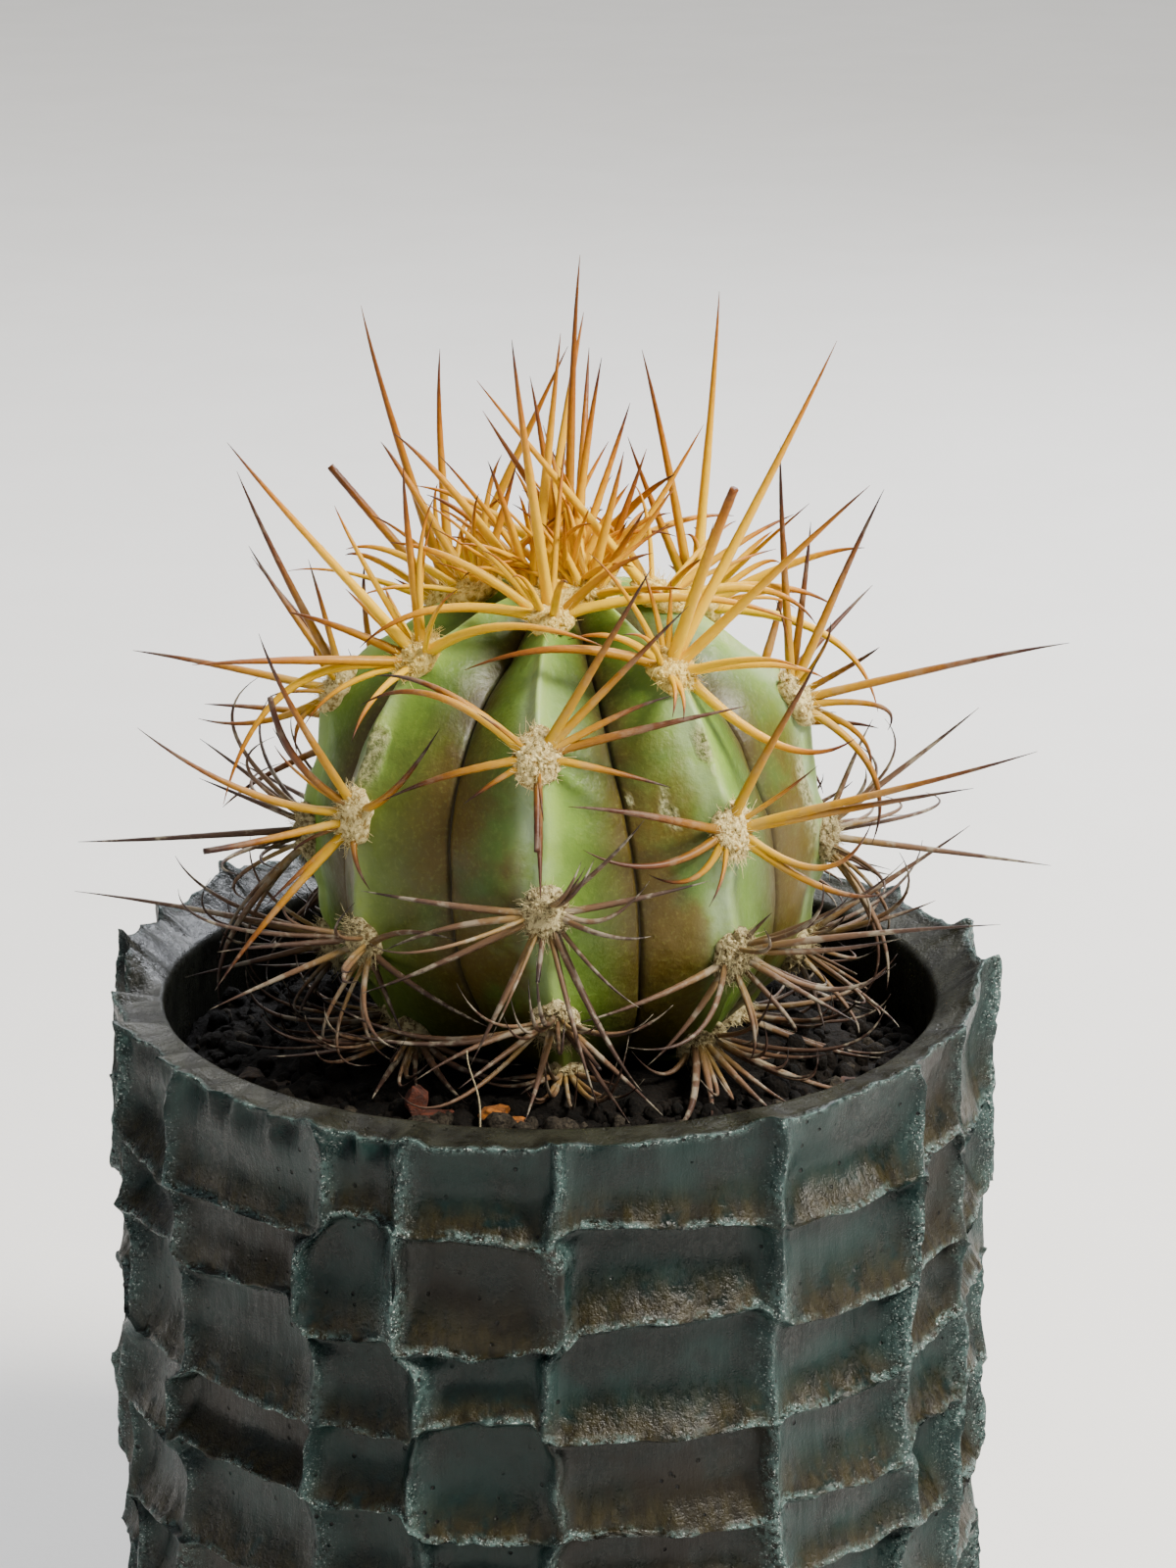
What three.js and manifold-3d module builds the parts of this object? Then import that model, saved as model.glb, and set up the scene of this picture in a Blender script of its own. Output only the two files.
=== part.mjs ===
// Potted round cactus: a ribbed globe cactus with long curved spines, in a chiselled straight-sided pot.
// Millimetres, +Z up. The origin is the centre of the pot's flat underside. The front faces -Y.
// Azimuths are degrees turned from the front (-Y) towards the right (+X); polar angles run down from the
// top of the plant.
import * as THREE from 'three';
import { mergeVertices } from 'three/addons/utils/BufferGeometryUtils.js';
import Module from 'manifold-3d';

const wasm = await Module();
wasm.setup();

// ---- Driving dimensions --------------------------------------------------------------------------------
const POT_HEIGHT = 110; // table to the inner edge of the rim
const POT_RADIUS = 65; // axis to the crests of the vertical ridges
const POT_BORE_RADIUS = 55.5; // the smooth inside wall
const POT_FLOOR = 9; // thickness of the floor
const POT_FOOT_BEVEL = 1.5; // bevel round the underside
const CHISEL_DEPTH = 4.2; // from a ridge crest to the deepest part of a scoop
const CHISEL_ROWS = 8; // scoops stacked in one column
const DRAIN_RADIUS = 5; // each drainage hole
const DRAIN_CIRCLE_RADIUS = 26; // axis of the pot to a hole's axis
const DRAIN_COUNT = 3;
const DRAIN_TURN = 60; // azimuth of the first hole

const SOIL_BELOW_RIM = 5; // at the plant, under the rim's inner edge
const SOIL_FRONT_RISE = 1; // banked up against the front wall
const SOIL_SIDE_FALL = 6.5; // lower at the side and back walls
const SOIL_ROUGHNESS = 0.4; // height of the lumps
const SOIL_SIDES = 30; // corners round its edge

const BODY_RADIUS = 36.4; // at the rib crests
const BODY_HALF_HEIGHT = 35;
const BODY_BURIED = 5.2; // how far its base stands in the soil
const BODY_OFFSET_X = 2.4; // planted a little right of the pot's axis
const BODY_SQUARENESS = 2.3; // 2 is an ellipse, more is squarer
const CROWN_DIP = 1.2; // hollow at the very top
const RIB_TWIST = 0.07; // degrees of azimuth for each degree of polar angle

const WOOL_WIDTH = 6.6; // the pad of an areole, across its rib
const WOOL_LENGTH = 8.4; // along its rib
const WOOL_HEIGHT = 2.1; // above the skin
const CROWN_WOOL_SHARE = 0.66; // the young areoles round the top are this much smaller

const SPINE_THICKNESS = 1.25; // at the root
const SPINE_LENGTH_FACTOR = 1; // stretches every spine
const RADIAL_LENGTH = 23; // a spine of the outer ring of an areole
const CENTRAL_LENGTH = 36; // the stout one in the middle
const RADIAL_COUNT = 6; // round an areole whose spines are not chosen one by one
const RADIAL_ARCH = 2.5; // how far these stand off their chord

const FIT_GAP = 0.3; // air left between pieces that touch

// ---- Layout of the pot ---------------------------------------------------------------------------------
// Each vertical ridge of the pot: azimuth, and how far the rim's outer edge stands above its inner edge.
const POT_RIDGES = [
  [-73, 1.6], [-55, 1.6], [-30, 1.2], [-17, 0.8], [1, 1.2], [29, 1.6], [53, 2.6], [67, 3.2], [86, 6.6],
  [104, 5.2], [123, 4.2], [142, 3.6], [161, 4.2], [181, 4.6], [200, 5], [217, 6], [233, 7], [249, 5.4],
  [264, 6.6], [275, 1.4],
];
const RIM_NOTCH = 1.3; // between two ridges the rim's outer edge is this much lower
const RIM_EDGE_INSET = 0.8; // and this much further in than the lips
const RIM_CREST_INSET = 0.4; // of a ridge's end at the rim
const RIM_INNER_BEVEL = 0.8; // width of the bevel at the rim's inner edge
const RIM_INNER_RISE = 0.35; // its height
const FACE_SHARES = [0, 0.3, 0.7]; // where a column has its corners, from one ridge to the next
const RIDGE_DIP_SHARE = 0.3; // a ridge dips between two lips by this share of the chisel's depth
const LIP_INSET_SHARE = 0.35; // a lip stands this share of the depth behind the ridges
const LIP_RAGGEDNESS = 1.2; // and up to this much more
const ROW_UNEVENNESS = 0.36; // of a lip's height, as a share of a row
const RIDGE_SWAY = 3; // a ridge wanders this many degrees
const UNDERCUT_SHARE = 0.1; // of a row: the step in under a lip
const FLARE_SHARE = 0.36; // of a row: the slope out to the lip
const FLARE_DEPTH_SHARE = 0.7; // of the recess's depth: how far that slope reaches in

// ---- Layout of the plant -------------------------------------------------------------------------------
// Azimuth of each rib's crest at its middle height, going round from the front.
const RIBS = [-5, 38.5, 87, 133, 178, 227, 267, 307];
// Polar angles of the areoles. The ribs take the two patterns in turn, and the odd ribs have one more, which
// rests on the soil.
const ODD_RIB_ROWS = [21, 59, 92, 119];
const EVEN_RIB_ROWS = [9, 41, 78, 106, 132];
const LOWEST_AREOLE_LIFT = 0.7; // from the soil up to the middle of the lowest wool pads
// Depth of the furrows between the ribs, at polar angles.
const FURROW_DEPTHS = [[0, 0], [12, 2.4], [28, 6.4], [44, 6.6], [60, 4.8], [80, 3.2], [104, 2.4], [135, 1.9],
  [160, 0.9], [180, 0]];
const FURROW_SHARPNESS = 1.3;

// The spines that stand out, by areole: rib number and row letter. Each is how far its tip lies from the
// middle of its areole, [right, back, up], then how far it arches away from the plant, then how far its
// middle is lifted, all in millimetres. A last word 'blunt' marks a broken spine.
const CHOSEN_SPINES = {
  crown: [[2, 4, 47, 1], [5, 2, 33], [-5, 4, 30], [9, 5, 26]],
  '1a': [[-5, -7, 40, 1], [-26, -2, -5, 4], [34, 0, -1, 4], [-22, 2, 10, 3], [14, -4, 10, 2]],
  '1b': [[15, -11, 29, -1], [20, -4, 22], [18, 2, 8, 1], [28, 4, 6, 1], [18, -1, -4, 1], [-10, -2, -6, 1],
    [-21, 3, -7, 3], [-24, 4, 6, 2, 4], [-22, 5, 10, 2, 2], [0, -8, -11, 0, 0, 'blunt'], [1, -5, -19]],
  '1c': [[-25, 4, 2, 1], [-25, -1, -11, 1], [-22, 2, -6, 2, 2], [-10, -7, -19, 1], [22, 2, 4, 1],
    [14, -1, 5, 1, -3], [13, -9, -22, 4], [-1, -5, -8, 0, 0, 'blunt']],
  '1d': [[-32, 4, 2, 1, -3], [-30, -3, 0, 1, -2], [-19, -9, -5, 0, 1], [-13, -12, -5], [-4, -19, -7],
    [6, -10, -3, 0, 0, 'blunt'], [16, -1, 3, 1, -2], [10, -17, -8], [15, -14, -7]],
  '1e': [[-5, -13, -1], [9, -13, 0], [-12, -7, 1]],
  '2a': [[5, -2, 21], [12, -1, 16, -1], [8, -6, 14]],
  '2b': [[22, 2, 45, 1], [8, -12, 28, 0, 0, 'blunt'], [26, -10, 28, -1], [25, -6, -8, 2, -6],
    [-28, -4, 1, 4], [-14, -3, 5, 3], [21, -1, -1, 3], [0, 2, 12]],
  '2c': [[11, -12, 28, -1], [40, -12, 15, -1], [32, -9, 9, -1], [-22, -11, 7, 2], [-20, -11, 1, 2, -3],
    [-11, -5, -5, 2, -3], [19, -4, 3, 3, -6], [21, -5, -7, 2, -3]],
  '2d': [[-22, -9, -6, 1], [-12, -9, -13, 1], [36, -5, 6, -1], [22, -4, 0, 1, -4], [23, -2, 3, 0, -1],
    [17, -6, -8, 1], [5, -3, 7]],
  '2e': [[-11, -5, 1, 1, -3], [10, -21, -3, 2], [12, -17, -3, 2], [-6, -26, -3, 3], [1, -22, -3, 2],
    [12, -6, 1, 5], [18, -8, 1, 1, -1]],
  '3a': [[-25, -6, 32], [22, -4, -3, 4], [25, 2, -2, 3]],
  '3b': [[12, 0, 30], [-2, 4, 36], [38, -4, 9, 1], [13, -3, -4, 5], [11, -5, -20, 5], [11, 2, -12, 3],
    [2, 6, 24]],
  '3c': [[32, -5, -3], [9, -7, -21, 3], [22, 3, 18], [9, -3, -6], [7, 4, 16], [6, 3, 9, 2]],
  '3d': [[20, -1, 7, 1], [25, 3, 17], [7, -4, 6, 1], [12, -5, -9, 4], [9, -7, -11, 3], [4, -9, -10, 1]],
  '4a': [[-16, 3, 24], [7, 1, 19, -1], [15, 3, 22, -3]],
  '4b': [[3, 3, 45, 1], [-8, 1, 37, 1], [24, -3, 9, 3], [26, -8, -14, 6], [-10, -2, 25], [11, 3, 10, 2],
    [12, 0, 6, 3]],
  '6a': [[5, 3, 38, 1], [-16, 2, 12, 2]],
  '6b': [[-12, 1, 43, 1], [-1, 5, 36, 1], [-17, 4, 19, 0, 0, 'blunt'], [19, -4, 37], [-15, 3, 6, 3],
    [-8, 5, 2]],
  '7a': [[-13, 2, 21, 3], [-18, 0, 6, 3], [6, 1, 18]],
  '7b': [[-14, 2, 31, 1], [-29, -2, 6, 1], [-13, 7, 19], [-4, -1, 19], [-20, -2, -4, 0, -2],
    [-6, -3, -9, 2]],
  '7c': [[-33, -3, -1], [-16, 2, 7], [-16, 5, 12], [-13, -6, -25, 5], [-8, 3, -3]],
  '7d': [[-38, -2, 7, -1], [-22, -3, -4], [-15, 2, 3], [-6, -6, -10, 1]],
  '8a': [[4, -1, 37], [-19, -1, 23, 3], [-6, -5, 20, 1]],
  '8b': [[-26, -4, 30, 1], [-30, -8, 8, 1], [0, -8, 26], [-27, -4, -20, 4, 5], [-13, 0, 16, 2],
    [-18, 2, 6, 2], [27, -9, 4, 5], [-10, 3, 9]],
  '8c': [[-12, -7, 28, 1], [-11, -3, 18, 2, -2, 'blunt'], [-29, -4, 14, 0, -3], [-20, -9, -2, 0, 0, 'blunt'],
    [-19, -9, -22, 1], [13, -8, 15, 1, -3], [3, -4, -9, 1], [-12, -5, -11]],
  '8d': [[16, -8, 6, 1, 2], [19, -11, -7, 1], [6, -8, -11], [-21, -6, -8], [-20, -4, 0], [-16, -1, 4],
    [6, -5, -1, 0, 0, 'blunt']],
  '8e': [[-15, -6, 2, 1, -2], [-20, -9, 0, 0, -1], [-5, -20, -2, 1], [13, -22, -2, 2], [8, -22, -2, 1],
    [17, -10, 2, 0, -1], [1, -15, -3, 1]],
};

// Bark chips lying on the soil: azimuth, distance from the pot's inside wall to the chip's middle, length,
// width, thickness, turn and tilt in degrees, colour.
const CHIPS = [
  [-22, 11.3, 8, 5, 5.5, 20, 12, '#5a2a12'], [-8, 12, 8.5, 5.5, 3.6, -12, 8, '#a8762e'],
  [-69, 11.5, 7, 4.5, 2.6, 40, 5, '#4a3220'], [68, 9.3, 6, 4, 2.6, -35, 6, '#5e3524'],
];
const CHIP_LIFT_SHARE = 0.28; // of a chip's thickness: how far its middle stands above the soil

// ---- How the spines grow ---------------------------------------------------------------------------------
const SPINE_STEPS = [0, 0.35, 0.7, 1]; // where a spine has its rings, from root to tip
const SPINE_TAPER = [1, 0.84, 0.6]; // its thickness at the first three
const BLUNT_TIP_SHARE = 0.75; // thickness of a broken spine's end
const SPINE_CORNER_SHARE = 0.6; // from its middle line to a corner, as a share of its thickness
const ROOT_DEPTH_SHARE = 0.2; // of the wool's height: a root's place above the middle of the pad
const ROOT_REACH_SHARE = 0.3; // of the wool's width: how far out a leaning spine leaves the pad
const LEAN_STEP = 3; // degrees between the rings of ways that a spine tries
const LEAN_RINGS = 6;
const LEAN_WAYS = 8; // tried in each ring
const SHORTER_SHARES = [1, 0.85, 0.7, 0.55, 0.4]; // lengths tried in turn

// ---- Small helpers -------------------------------------------------------------------------------------
const radians = THREE.MathUtils.degToRad;
const BODY_BASE_Z = POT_HEIGHT - SOIL_BELOW_RIM - BODY_BURIED;
const BODY_CENTRE = new THREE.Vector3(BODY_OFFSET_X, 0, BODY_BASE_Z + BODY_HALF_HEIGHT);
const RIM_TOP = POT_HEIGHT + Math.max(...POT_RIDGES.map((ridge) => ridge[1])) + 1;

// The same "random" number from 0 to 1 for the same two whole numbers, every time.
function scatter(a, b) {
  const wave = Math.sin(a * 12.9898 + b * 78.233) * 43758.5453;
  return wave - Math.floor(wave);
}

function around(azimuth, radius, z) {
  const angle = radians(azimuth);
  return new THREE.Vector3(radius * Math.sin(angle), -radius * Math.cos(angle), z);
}

function interpolate(table, at) {
  const next = table.findIndex((row) => row[0] >= at);
  if (next <= 0) return table[Math.max(next, 0)][1];
  const [x0, y0] = table[next - 1];
  const [x1, y1] = table[next];
  return y0 + ((y1 - y0) * (at - x0)) / (x1 - x0);
}

// A closed skin from rings of points. The first and last rings may be a single point.
function skinOfRings(rings) {
  const positions = [];
  const starts = [];
  for (const ring of rings) {
    starts.push(positions.length / 3);
    for (const point of ring) positions.push(point.x, point.y, point.z);
  }
  const index = [];
  for (let level = 0; level + 1 < rings.length; level += 1) {
    const low = rings[level];
    const high = rings[level + 1];
    const count = Math.max(low.length, high.length);
    for (let i = 0; i < count; i += 1) {
      const j = (i + 1) % count;
      const a = starts[level] + (low.length > 1 ? i : 0);
      const b = starts[level] + (low.length > 1 ? j : 0);
      const c = starts[level + 1] + (high.length > 1 ? j : 0);
      const d = starts[level + 1] + (high.length > 1 ? i : 0);
      if (low.length > 1) index.push(a, b, c);
      if (high.length > 1) index.push(a, c, d);
    }
  }
  const geometry = new THREE.BufferGeometry();
  geometry.setAttribute('position', new THREE.Float32BufferAttribute(positions, 3));
  geometry.setIndex(index);
  return geometry;
}

function toSolid(geometry) {
  const bare = geometry.clone();
  bare.deleteAttribute('normal');
  bare.deleteAttribute('uv');
  const merged = mergeVertices(bare, 1e-4);
  return new wasm.Manifold(new wasm.Mesh({
    numProp: 3,
    vertProperties: new Float32Array(merged.attributes.position.array),
    triVerts: new Uint32Array(merged.index.array),
  }));
}

function toGeometry(solid) {
  const mesh = solid.getMesh();
  const geometry = new THREE.BufferGeometry();
  geometry.setAttribute('position', new THREE.Float32BufferAttribute(mesh.vertProperties, 3));
  geometry.setIndex(Array.from(mesh.triVerts));
  geometry.computeVertexNormals();
  return geometry;
}

// Cutting can leave crumbs. The piece is the largest of what is left.
function largestBody(solid) {
  const bodies = solid.decompose();
  return bodies.reduce((best, body) => (body.volume() > best.volume() ? body : best));
}

const model = new THREE.Group();

function addPiece(name, geometry, color, roughness) {
  const material = new THREE.MeshStandardMaterial({ color, roughness, metalness: 0 });
  const mesh = new THREE.Mesh(geometry, material);
  mesh.name = name;
  model.add(mesh);
}

// ---- Pot -----------------------------------------------------------------------------------------------
// One corner line of the chiselled outside, from the foot to the rim.
function potCorner(column, share) {
  const [azimuth, rise] = POT_RIDGES[column];
  const [nextAzimuth, nextRise] = POT_RIDGES[(column + 1) % POT_RIDGES.length];
  const sweep = (((nextAzimuth - azimuth) % 360) + 360) % 360;
  const middle = azimuth + sweep * share;
  const onRidge = share === 0;
  const rimRise = onRidge ? rise : rise + (nextRise - rise) * share - RIM_NOTCH;
  const recess = onRidge ? CHISEL_DEPTH * RIDGE_DIP_SHARE : CHISEL_DEPTH;
  const lip = onRidge ? 0 : CHISEL_DEPTH * LIP_INSET_SHARE;
  const rowHeight = POT_HEIGHT / CHISEL_ROWS;
  const corner = [around(middle, POT_RADIUS - POT_FOOT_BEVEL - lip, 0)];
  corner.push(around(middle, POT_RADIUS - lip, POT_FOOT_BEVEL));
  for (let row = 1; row < CHISEL_ROWS; row += 1) {
    const boundary = rowHeight * (row + ROW_UNEVENNESS * (scatter(column, row) - 0.5));
    const sway = onRidge ? RIDGE_SWAY * (scatter(row, column + 40) - 0.5) : 0;
    const edge = POT_RADIUS - lip - LIP_RAGGEDNESS * scatter(column + 7, row);
    const flareEnd = edge - FLARE_DEPTH_SHARE * (recess - lip);
    corner.push(around(middle + sway, POT_RADIUS - recess, boundary - rowHeight * UNDERCUT_SHARE));
    corner.push(around(middle + sway, edge, boundary));
    corner.push(around(middle + sway, flareEnd, boundary + rowHeight * FLARE_SHARE));
  }
  const rimInset = onRidge ? RIM_CREST_INSET : lip + RIM_EDGE_INSET;
  corner.push(around(middle, POT_RADIUS - rimInset, POT_HEIGHT + rimRise));
  corner.push(around(middle, POT_BORE_RADIUS + RIM_INNER_BEVEL, POT_HEIGHT + RIM_INNER_RISE));
  corner.push(around(middle, POT_BORE_RADIUS, POT_HEIGHT));
  corner.push(around(middle, POT_BORE_RADIUS, POT_FLOOR));
  return corner;
}

function makePot() {
  const corners = [];
  POT_RIDGES.forEach((ridge, column) => {
    for (const share of FACE_SHARES) corners.push(potCorner(column, share));
  });
  const rings = corners[0].map((point, level) => corners.map((corner) => corner[level]));
  rings.unshift([new THREE.Vector3(0, 0, 0)]);
  rings.push([new THREE.Vector3(0, 0, POT_FLOOR)]);
  let pot = toSolid(skinOfRings(rings));
  for (let hole = 0; hole < DRAIN_COUNT; hole += 1) {
    const drill = new THREE.CylinderGeometry(DRAIN_RADIUS, DRAIN_RADIUS, POT_FLOOR + 4, 16);
    drill.rotateX(Math.PI / 2);
    const at = around(DRAIN_TURN + (360 * hole) / DRAIN_COUNT, DRAIN_CIRCLE_RADIUS, POT_FLOOR / 2);
    drill.translate(at.x, at.y, at.z);
    pot = pot.subtract(toSolid(drill));
  }
  addPiece('pot', toGeometry(pot), '#4b5558', 0.55);
}

// ---- Body of the cactus --------------------------------------------------------------------------------
function crestAzimuth(rib, polar) {
  return RIBS[rib] + RIB_TWIST * (polar - 80);
}

// How far round between two crests: 0 on a crest, 1 at the bottom of the furrow.
function furrowShare(azimuth, polar) {
  const straight = azimuth - RIB_TWIST * (polar - 80);
  for (let rib = 0; rib < RIBS.length; rib += 1) {
    const gap = (((RIBS[(rib + 1) % RIBS.length] - RIBS[rib]) % 360) + 360) % 360;
    const past = (((straight - RIBS[rib]) % 360) + 360) % 360;
    if (past <= gap) return 1 - Math.abs((2 * past) / gap - 1);
  }
  return 0;
}

function bodyRadius(polar, azimuth) {
  const across = Math.abs(Math.sin(radians(polar))) / BODY_RADIUS;
  const along = Math.abs(Math.cos(radians(polar))) / BODY_HALF_HEIGHT;
  const smooth = (across ** BODY_SQUARENESS + along ** BODY_SQUARENESS) ** (-1 / BODY_SQUARENESS);
  const furrow = interpolate(FURROW_DEPTHS, polar) * furrowShare(azimuth, polar) ** FURROW_SHARPNESS;
  return smooth - furrow - CROWN_DIP * Math.exp(-((polar / 9) ** 2));
}

function bodyPoint(polar, azimuth, lift = 0) {
  const radius = bodyRadius(polar, azimuth) + lift;
  const point = around(azimuth, radius * Math.sin(radians(polar)), radius * Math.cos(radians(polar)));
  return point.add(BODY_CENTRE);
}

function bodySkin(lift) {
  const rings = [[bodyPoint(180, 0, lift)]];
  for (const polar of [172, 163, 153, 143, 132, 120, 108, 96, 84, 72, 61, 50, 40, 30, 21, 13, 6]) {
    const ring = [];
    RIBS.forEach((crest, rib) => {
      const gap = (((RIBS[(rib + 1) % RIBS.length] - crest) % 360) + 360) % 360;
      for (const share of [0, 0.2, 0.4, 0.5, 0.6, 0.8]) {
        ring.push(bodyPoint(polar, crestAzimuth(rib, polar) + gap * share, lift));
      }
    });
    rings.push(ring);
  }
  rings.push([bodyPoint(0, 0, lift)]);
  return skinOfRings(rings);
}

// ---- Soil and bark chips -------------------------------------------------------------------------------
function soilHeight(x, y) {
  const radius = Math.hypot(x, y);
  const outward = THREE.MathUtils.smoothstep(radius, BODY_RADIUS * 0.6, POT_BORE_RADIUS);
  const front = radius > 0 ? Math.max(-y / radius, 0) ** 2 : 0;
  const bank = SOIL_FRONT_RISE * front - SOIL_SIDE_FALL * (1 - front);
  const lumps = Math.sin(x * 0.52 + 1) * Math.cos(y * 0.61) + Math.sin(x * 0.23 - y * 0.37 + 2);
  return POT_HEIGHT - SOIL_BELOW_RIM + bank * outward + SOIL_ROUGHNESS * lumps;
}

function soilSkin(lift) {
  const reach = POT_BORE_RADIUS - FIT_GAP;
  const base = POT_FLOOR + FIT_GAP;
  const sides = SOIL_SIDES;
  const ringAt = (radius, heightAt) => Array.from({ length: sides }, (_, i) => {
    const point = around((360 * i) / sides, radius, 0);
    point.z = heightAt(point.x, point.y);
    return point;
  });
  const rings = [[new THREE.Vector3(0, 0, base)], ringAt(reach, () => base)];
  for (const share of [1, 0.9, 0.78, 0.66, 0.53, 0.34]) {
    rings.push(ringAt(reach * share, (x, y) => soilHeight(x, y) + lift));
  }
  rings.push([new THREE.Vector3(0, 0, soilHeight(0, 0) + lift)]);
  return skinOfRings(rings);
}

function makeSoil(bodyWithGap) {
  const soil = largestBody(toSolid(soilSkin(0)).subtract(bodyWithGap));
  addPiece('soil', toGeometry(soil), '#2c241c', 0.95);
}

// Middle of a chip, sunk a little in the soil.
function chipCentre([azimuth, fromWall, , , thickness]) {
  const centre = around(azimuth, POT_BORE_RADIUS - fromWall, 0);
  centre.z = soilHeight(centre.x, centre.y) + thickness * CHIP_LIFT_SHARE;
  return centre;
}

// Each chip is a rough splinter: a box whose corners are pulled in unevenly.
function makeChips(bodyWithGap) {
  const soilWithGap = toSolid(soilSkin(FIT_GAP));
  CHIPS.forEach((layout, number) => {
    const [, , length, width, thickness, turn, tilt, color] = layout;
    const chip = new THREE.BoxGeometry(length, width, thickness, 2, 1, 1);
    const bare = mergeVertices(chip.deleteAttribute('normal').deleteAttribute('uv'), 1e-4);
    const corners = bare.attributes.position;
    for (let i = 0; i < corners.count; i += 1) {
      const squeeze = 0.72 + 0.34 * scatter(i + 3, number);
      corners.setXYZ(i, corners.getX(i) * squeeze, corners.getY(i) * squeeze, corners.getZ(i) * squeeze);
    }
    bare.rotateY(radians(tilt));
    bare.rotateZ(radians(turn));
    bare.translate(...chipCentre(layout));
    const seated = largestBody(toSolid(bare).subtract(soilWithGap).subtract(bodyWithGap));
    addPiece(`bark_chip_${number + 1}`, toGeometry(seated), color, 0.9);
  });
}

// ---- Areoles: wool pads with their spines --------------------------------------------------------------
function makeAreole(name, polar, azimuth, size) {
  const centre = bodyPoint(polar, azimuth, FIT_GAP);
  const out = centre.clone().sub(BODY_CENTRE).normalize();
  const side = new THREE.Vector3(0, 0, 1).cross(out);
  if (side.length() < 0.01) side.set(1, 0, 0);
  side.normalize();
  const along = out.clone().cross(side);
  return { name, polar, azimuth, size, centre, out, side, along, spines: [] };
}

// The polar angle at which a rib's crest stands just above the soil.
function lowestPolar() {
  const soilLine = BODY_BURIED + LOWEST_AREOLE_LIFT - BODY_HALF_HEIGHT;
  let polar = 175;
  while (bodyRadius(polar, crestAzimuth(0, polar)) * Math.cos(radians(polar)) < soilLine) polar -= 0.5;
  return polar;
}

function layOutAreoles() {
  const areoles = [makeAreole('crown', 0, 0, CROWN_WOOL_SHARE)];
  const oddRows = [...ODD_RIB_ROWS, lowestPolar()];
  RIBS.forEach((crest, rib) => {
    const rows = rib % 2 === 0 ? oddRows : EVEN_RIB_ROWS;
    rows.forEach((polar, row) => {
      const size = polar < 15 ? CROWN_WOOL_SHARE : 1;
      areoles.push(makeAreole(`${rib + 1}${'abcde'[row]}`, polar, crestAzimuth(rib, polar), size));
    });
  });
  return areoles;
}

// The wishes of an areole with no chosen spines: a ring of radials and a stout central.
function ringOfSpines(areole, number) {
  const wishes = [];
  for (let k = 0; k < RADIAL_COUNT; k += 1) {
    const turn = radians((360 * (k + 0.5 * scatter(number, k))) / RADIAL_COUNT);
    const lift = 0.35 + 0.35 * scatter(k, number + 9);
    const length = RADIAL_LENGTH * (0.75 + 0.5 * scatter(number + 3, k + 5));
    const reach = areole.side.clone().multiplyScalar(Math.cos(turn));
    reach.addScaledVector(areole.along, Math.sin(turn)).addScaledVector(areole.out, lift);
    reach.normalize().multiplyScalar(length);
    wishes.push([reach.x, reach.y, reach.z, RADIAL_ARCH]);
  }
  const central = areole.out.clone().addScaledVector(areole.along, 0.8 * scatter(number, 77) - 0.2);
  central.normalize().multiplyScalar(CENTRAL_LENGTH * (0.8 + 0.35 * scatter(number, 21)));
  wishes.push([central.x, central.y, central.z, 1]);
  return wishes;
}

// Points along a spine. It leaves the pad on the side it leans to, arches, and ends at its tip.
function spinePoints(areole, reach, arch, rise) {
  const lean = reach.clone().addScaledVector(areole.out, -reach.dot(areole.out));
  const sideways = Math.min(lean.length() / reach.length(), 1);
  const root = areole.centre.clone().addScaledVector(areole.out, WOOL_HEIGHT * ROOT_DEPTH_SHARE);
  root.addScaledVector(lean.normalize(), WOOL_WIDTH * ROOT_REACH_SHARE * areole.size * sideways);
  const tip = areole.centre.clone().add(reach);
  const middle = root.clone().add(tip).multiplyScalar(0.5);
  const away = middle.sub(BODY_CENTRE).normalize().multiplyScalar(arch);
  away.z += rise;
  return SPINE_STEPS.map((share) => root.clone().lerp(tip, share)
    .addScaledVector(away, 4 * share * (1 - share)));
}

// Shortest distance between two segments. The second may be a single point.
function segmentGap(p1, q1, p2, q2) {
  const d1 = q1.clone().sub(p1);
  const d2 = q2.clone().sub(p2);
  const r = p1.clone().sub(p2);
  const a = d1.lengthSq();
  const e = d2.lengthSq();
  const f = d2.dot(r);
  const c = d1.dot(r);
  const b = d1.dot(d2);
  const denominator = a * e - b * b;
  const clamp = THREE.MathUtils.clamp;
  let s = denominator > 1e-9 ? clamp((b * f - c * e) / denominator, 0, 1) : 0;
  const t = e > 1e-9 ? clamp((b * s + f) / e, 0, 1) : 0;
  s = clamp((b * t - c) / a, 0, 1);
  return p1.clone().addScaledVector(d1, s).distanceTo(p2.clone().addScaledVector(d2, t));
}

// A point is free if it lies off the body and the bark, above the soil, and inside the bore or above the rim.
function pointIsFree(point) {
  const offset = point.clone().sub(BODY_CENTRE);
  const distance = offset.length();
  const polar = THREE.MathUtils.radToDeg(Math.acos(offset.z / distance));
  const azimuth = THREE.MathUtils.radToDeg(Math.atan2(offset.x, -offset.y));
  if (distance < bodyRadius(polar, azimuth) + SPINE_THICKNESS) return false;
  if (point.z < soilHeight(point.x, point.y) + SPINE_THICKNESS) return false;
  const overChip = CHIPS.some((chip) => chipCentre(chip).distanceTo(point) < chip[2] / 2 + SPINE_THICKNESS);
  if (overChip) return false;
  const radius = Math.hypot(point.x, point.y);
  return radius < POT_BORE_RADIUS - SPINE_THICKNESS || point.z > RIM_TOP + SPINE_THICKNESS;
}

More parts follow.
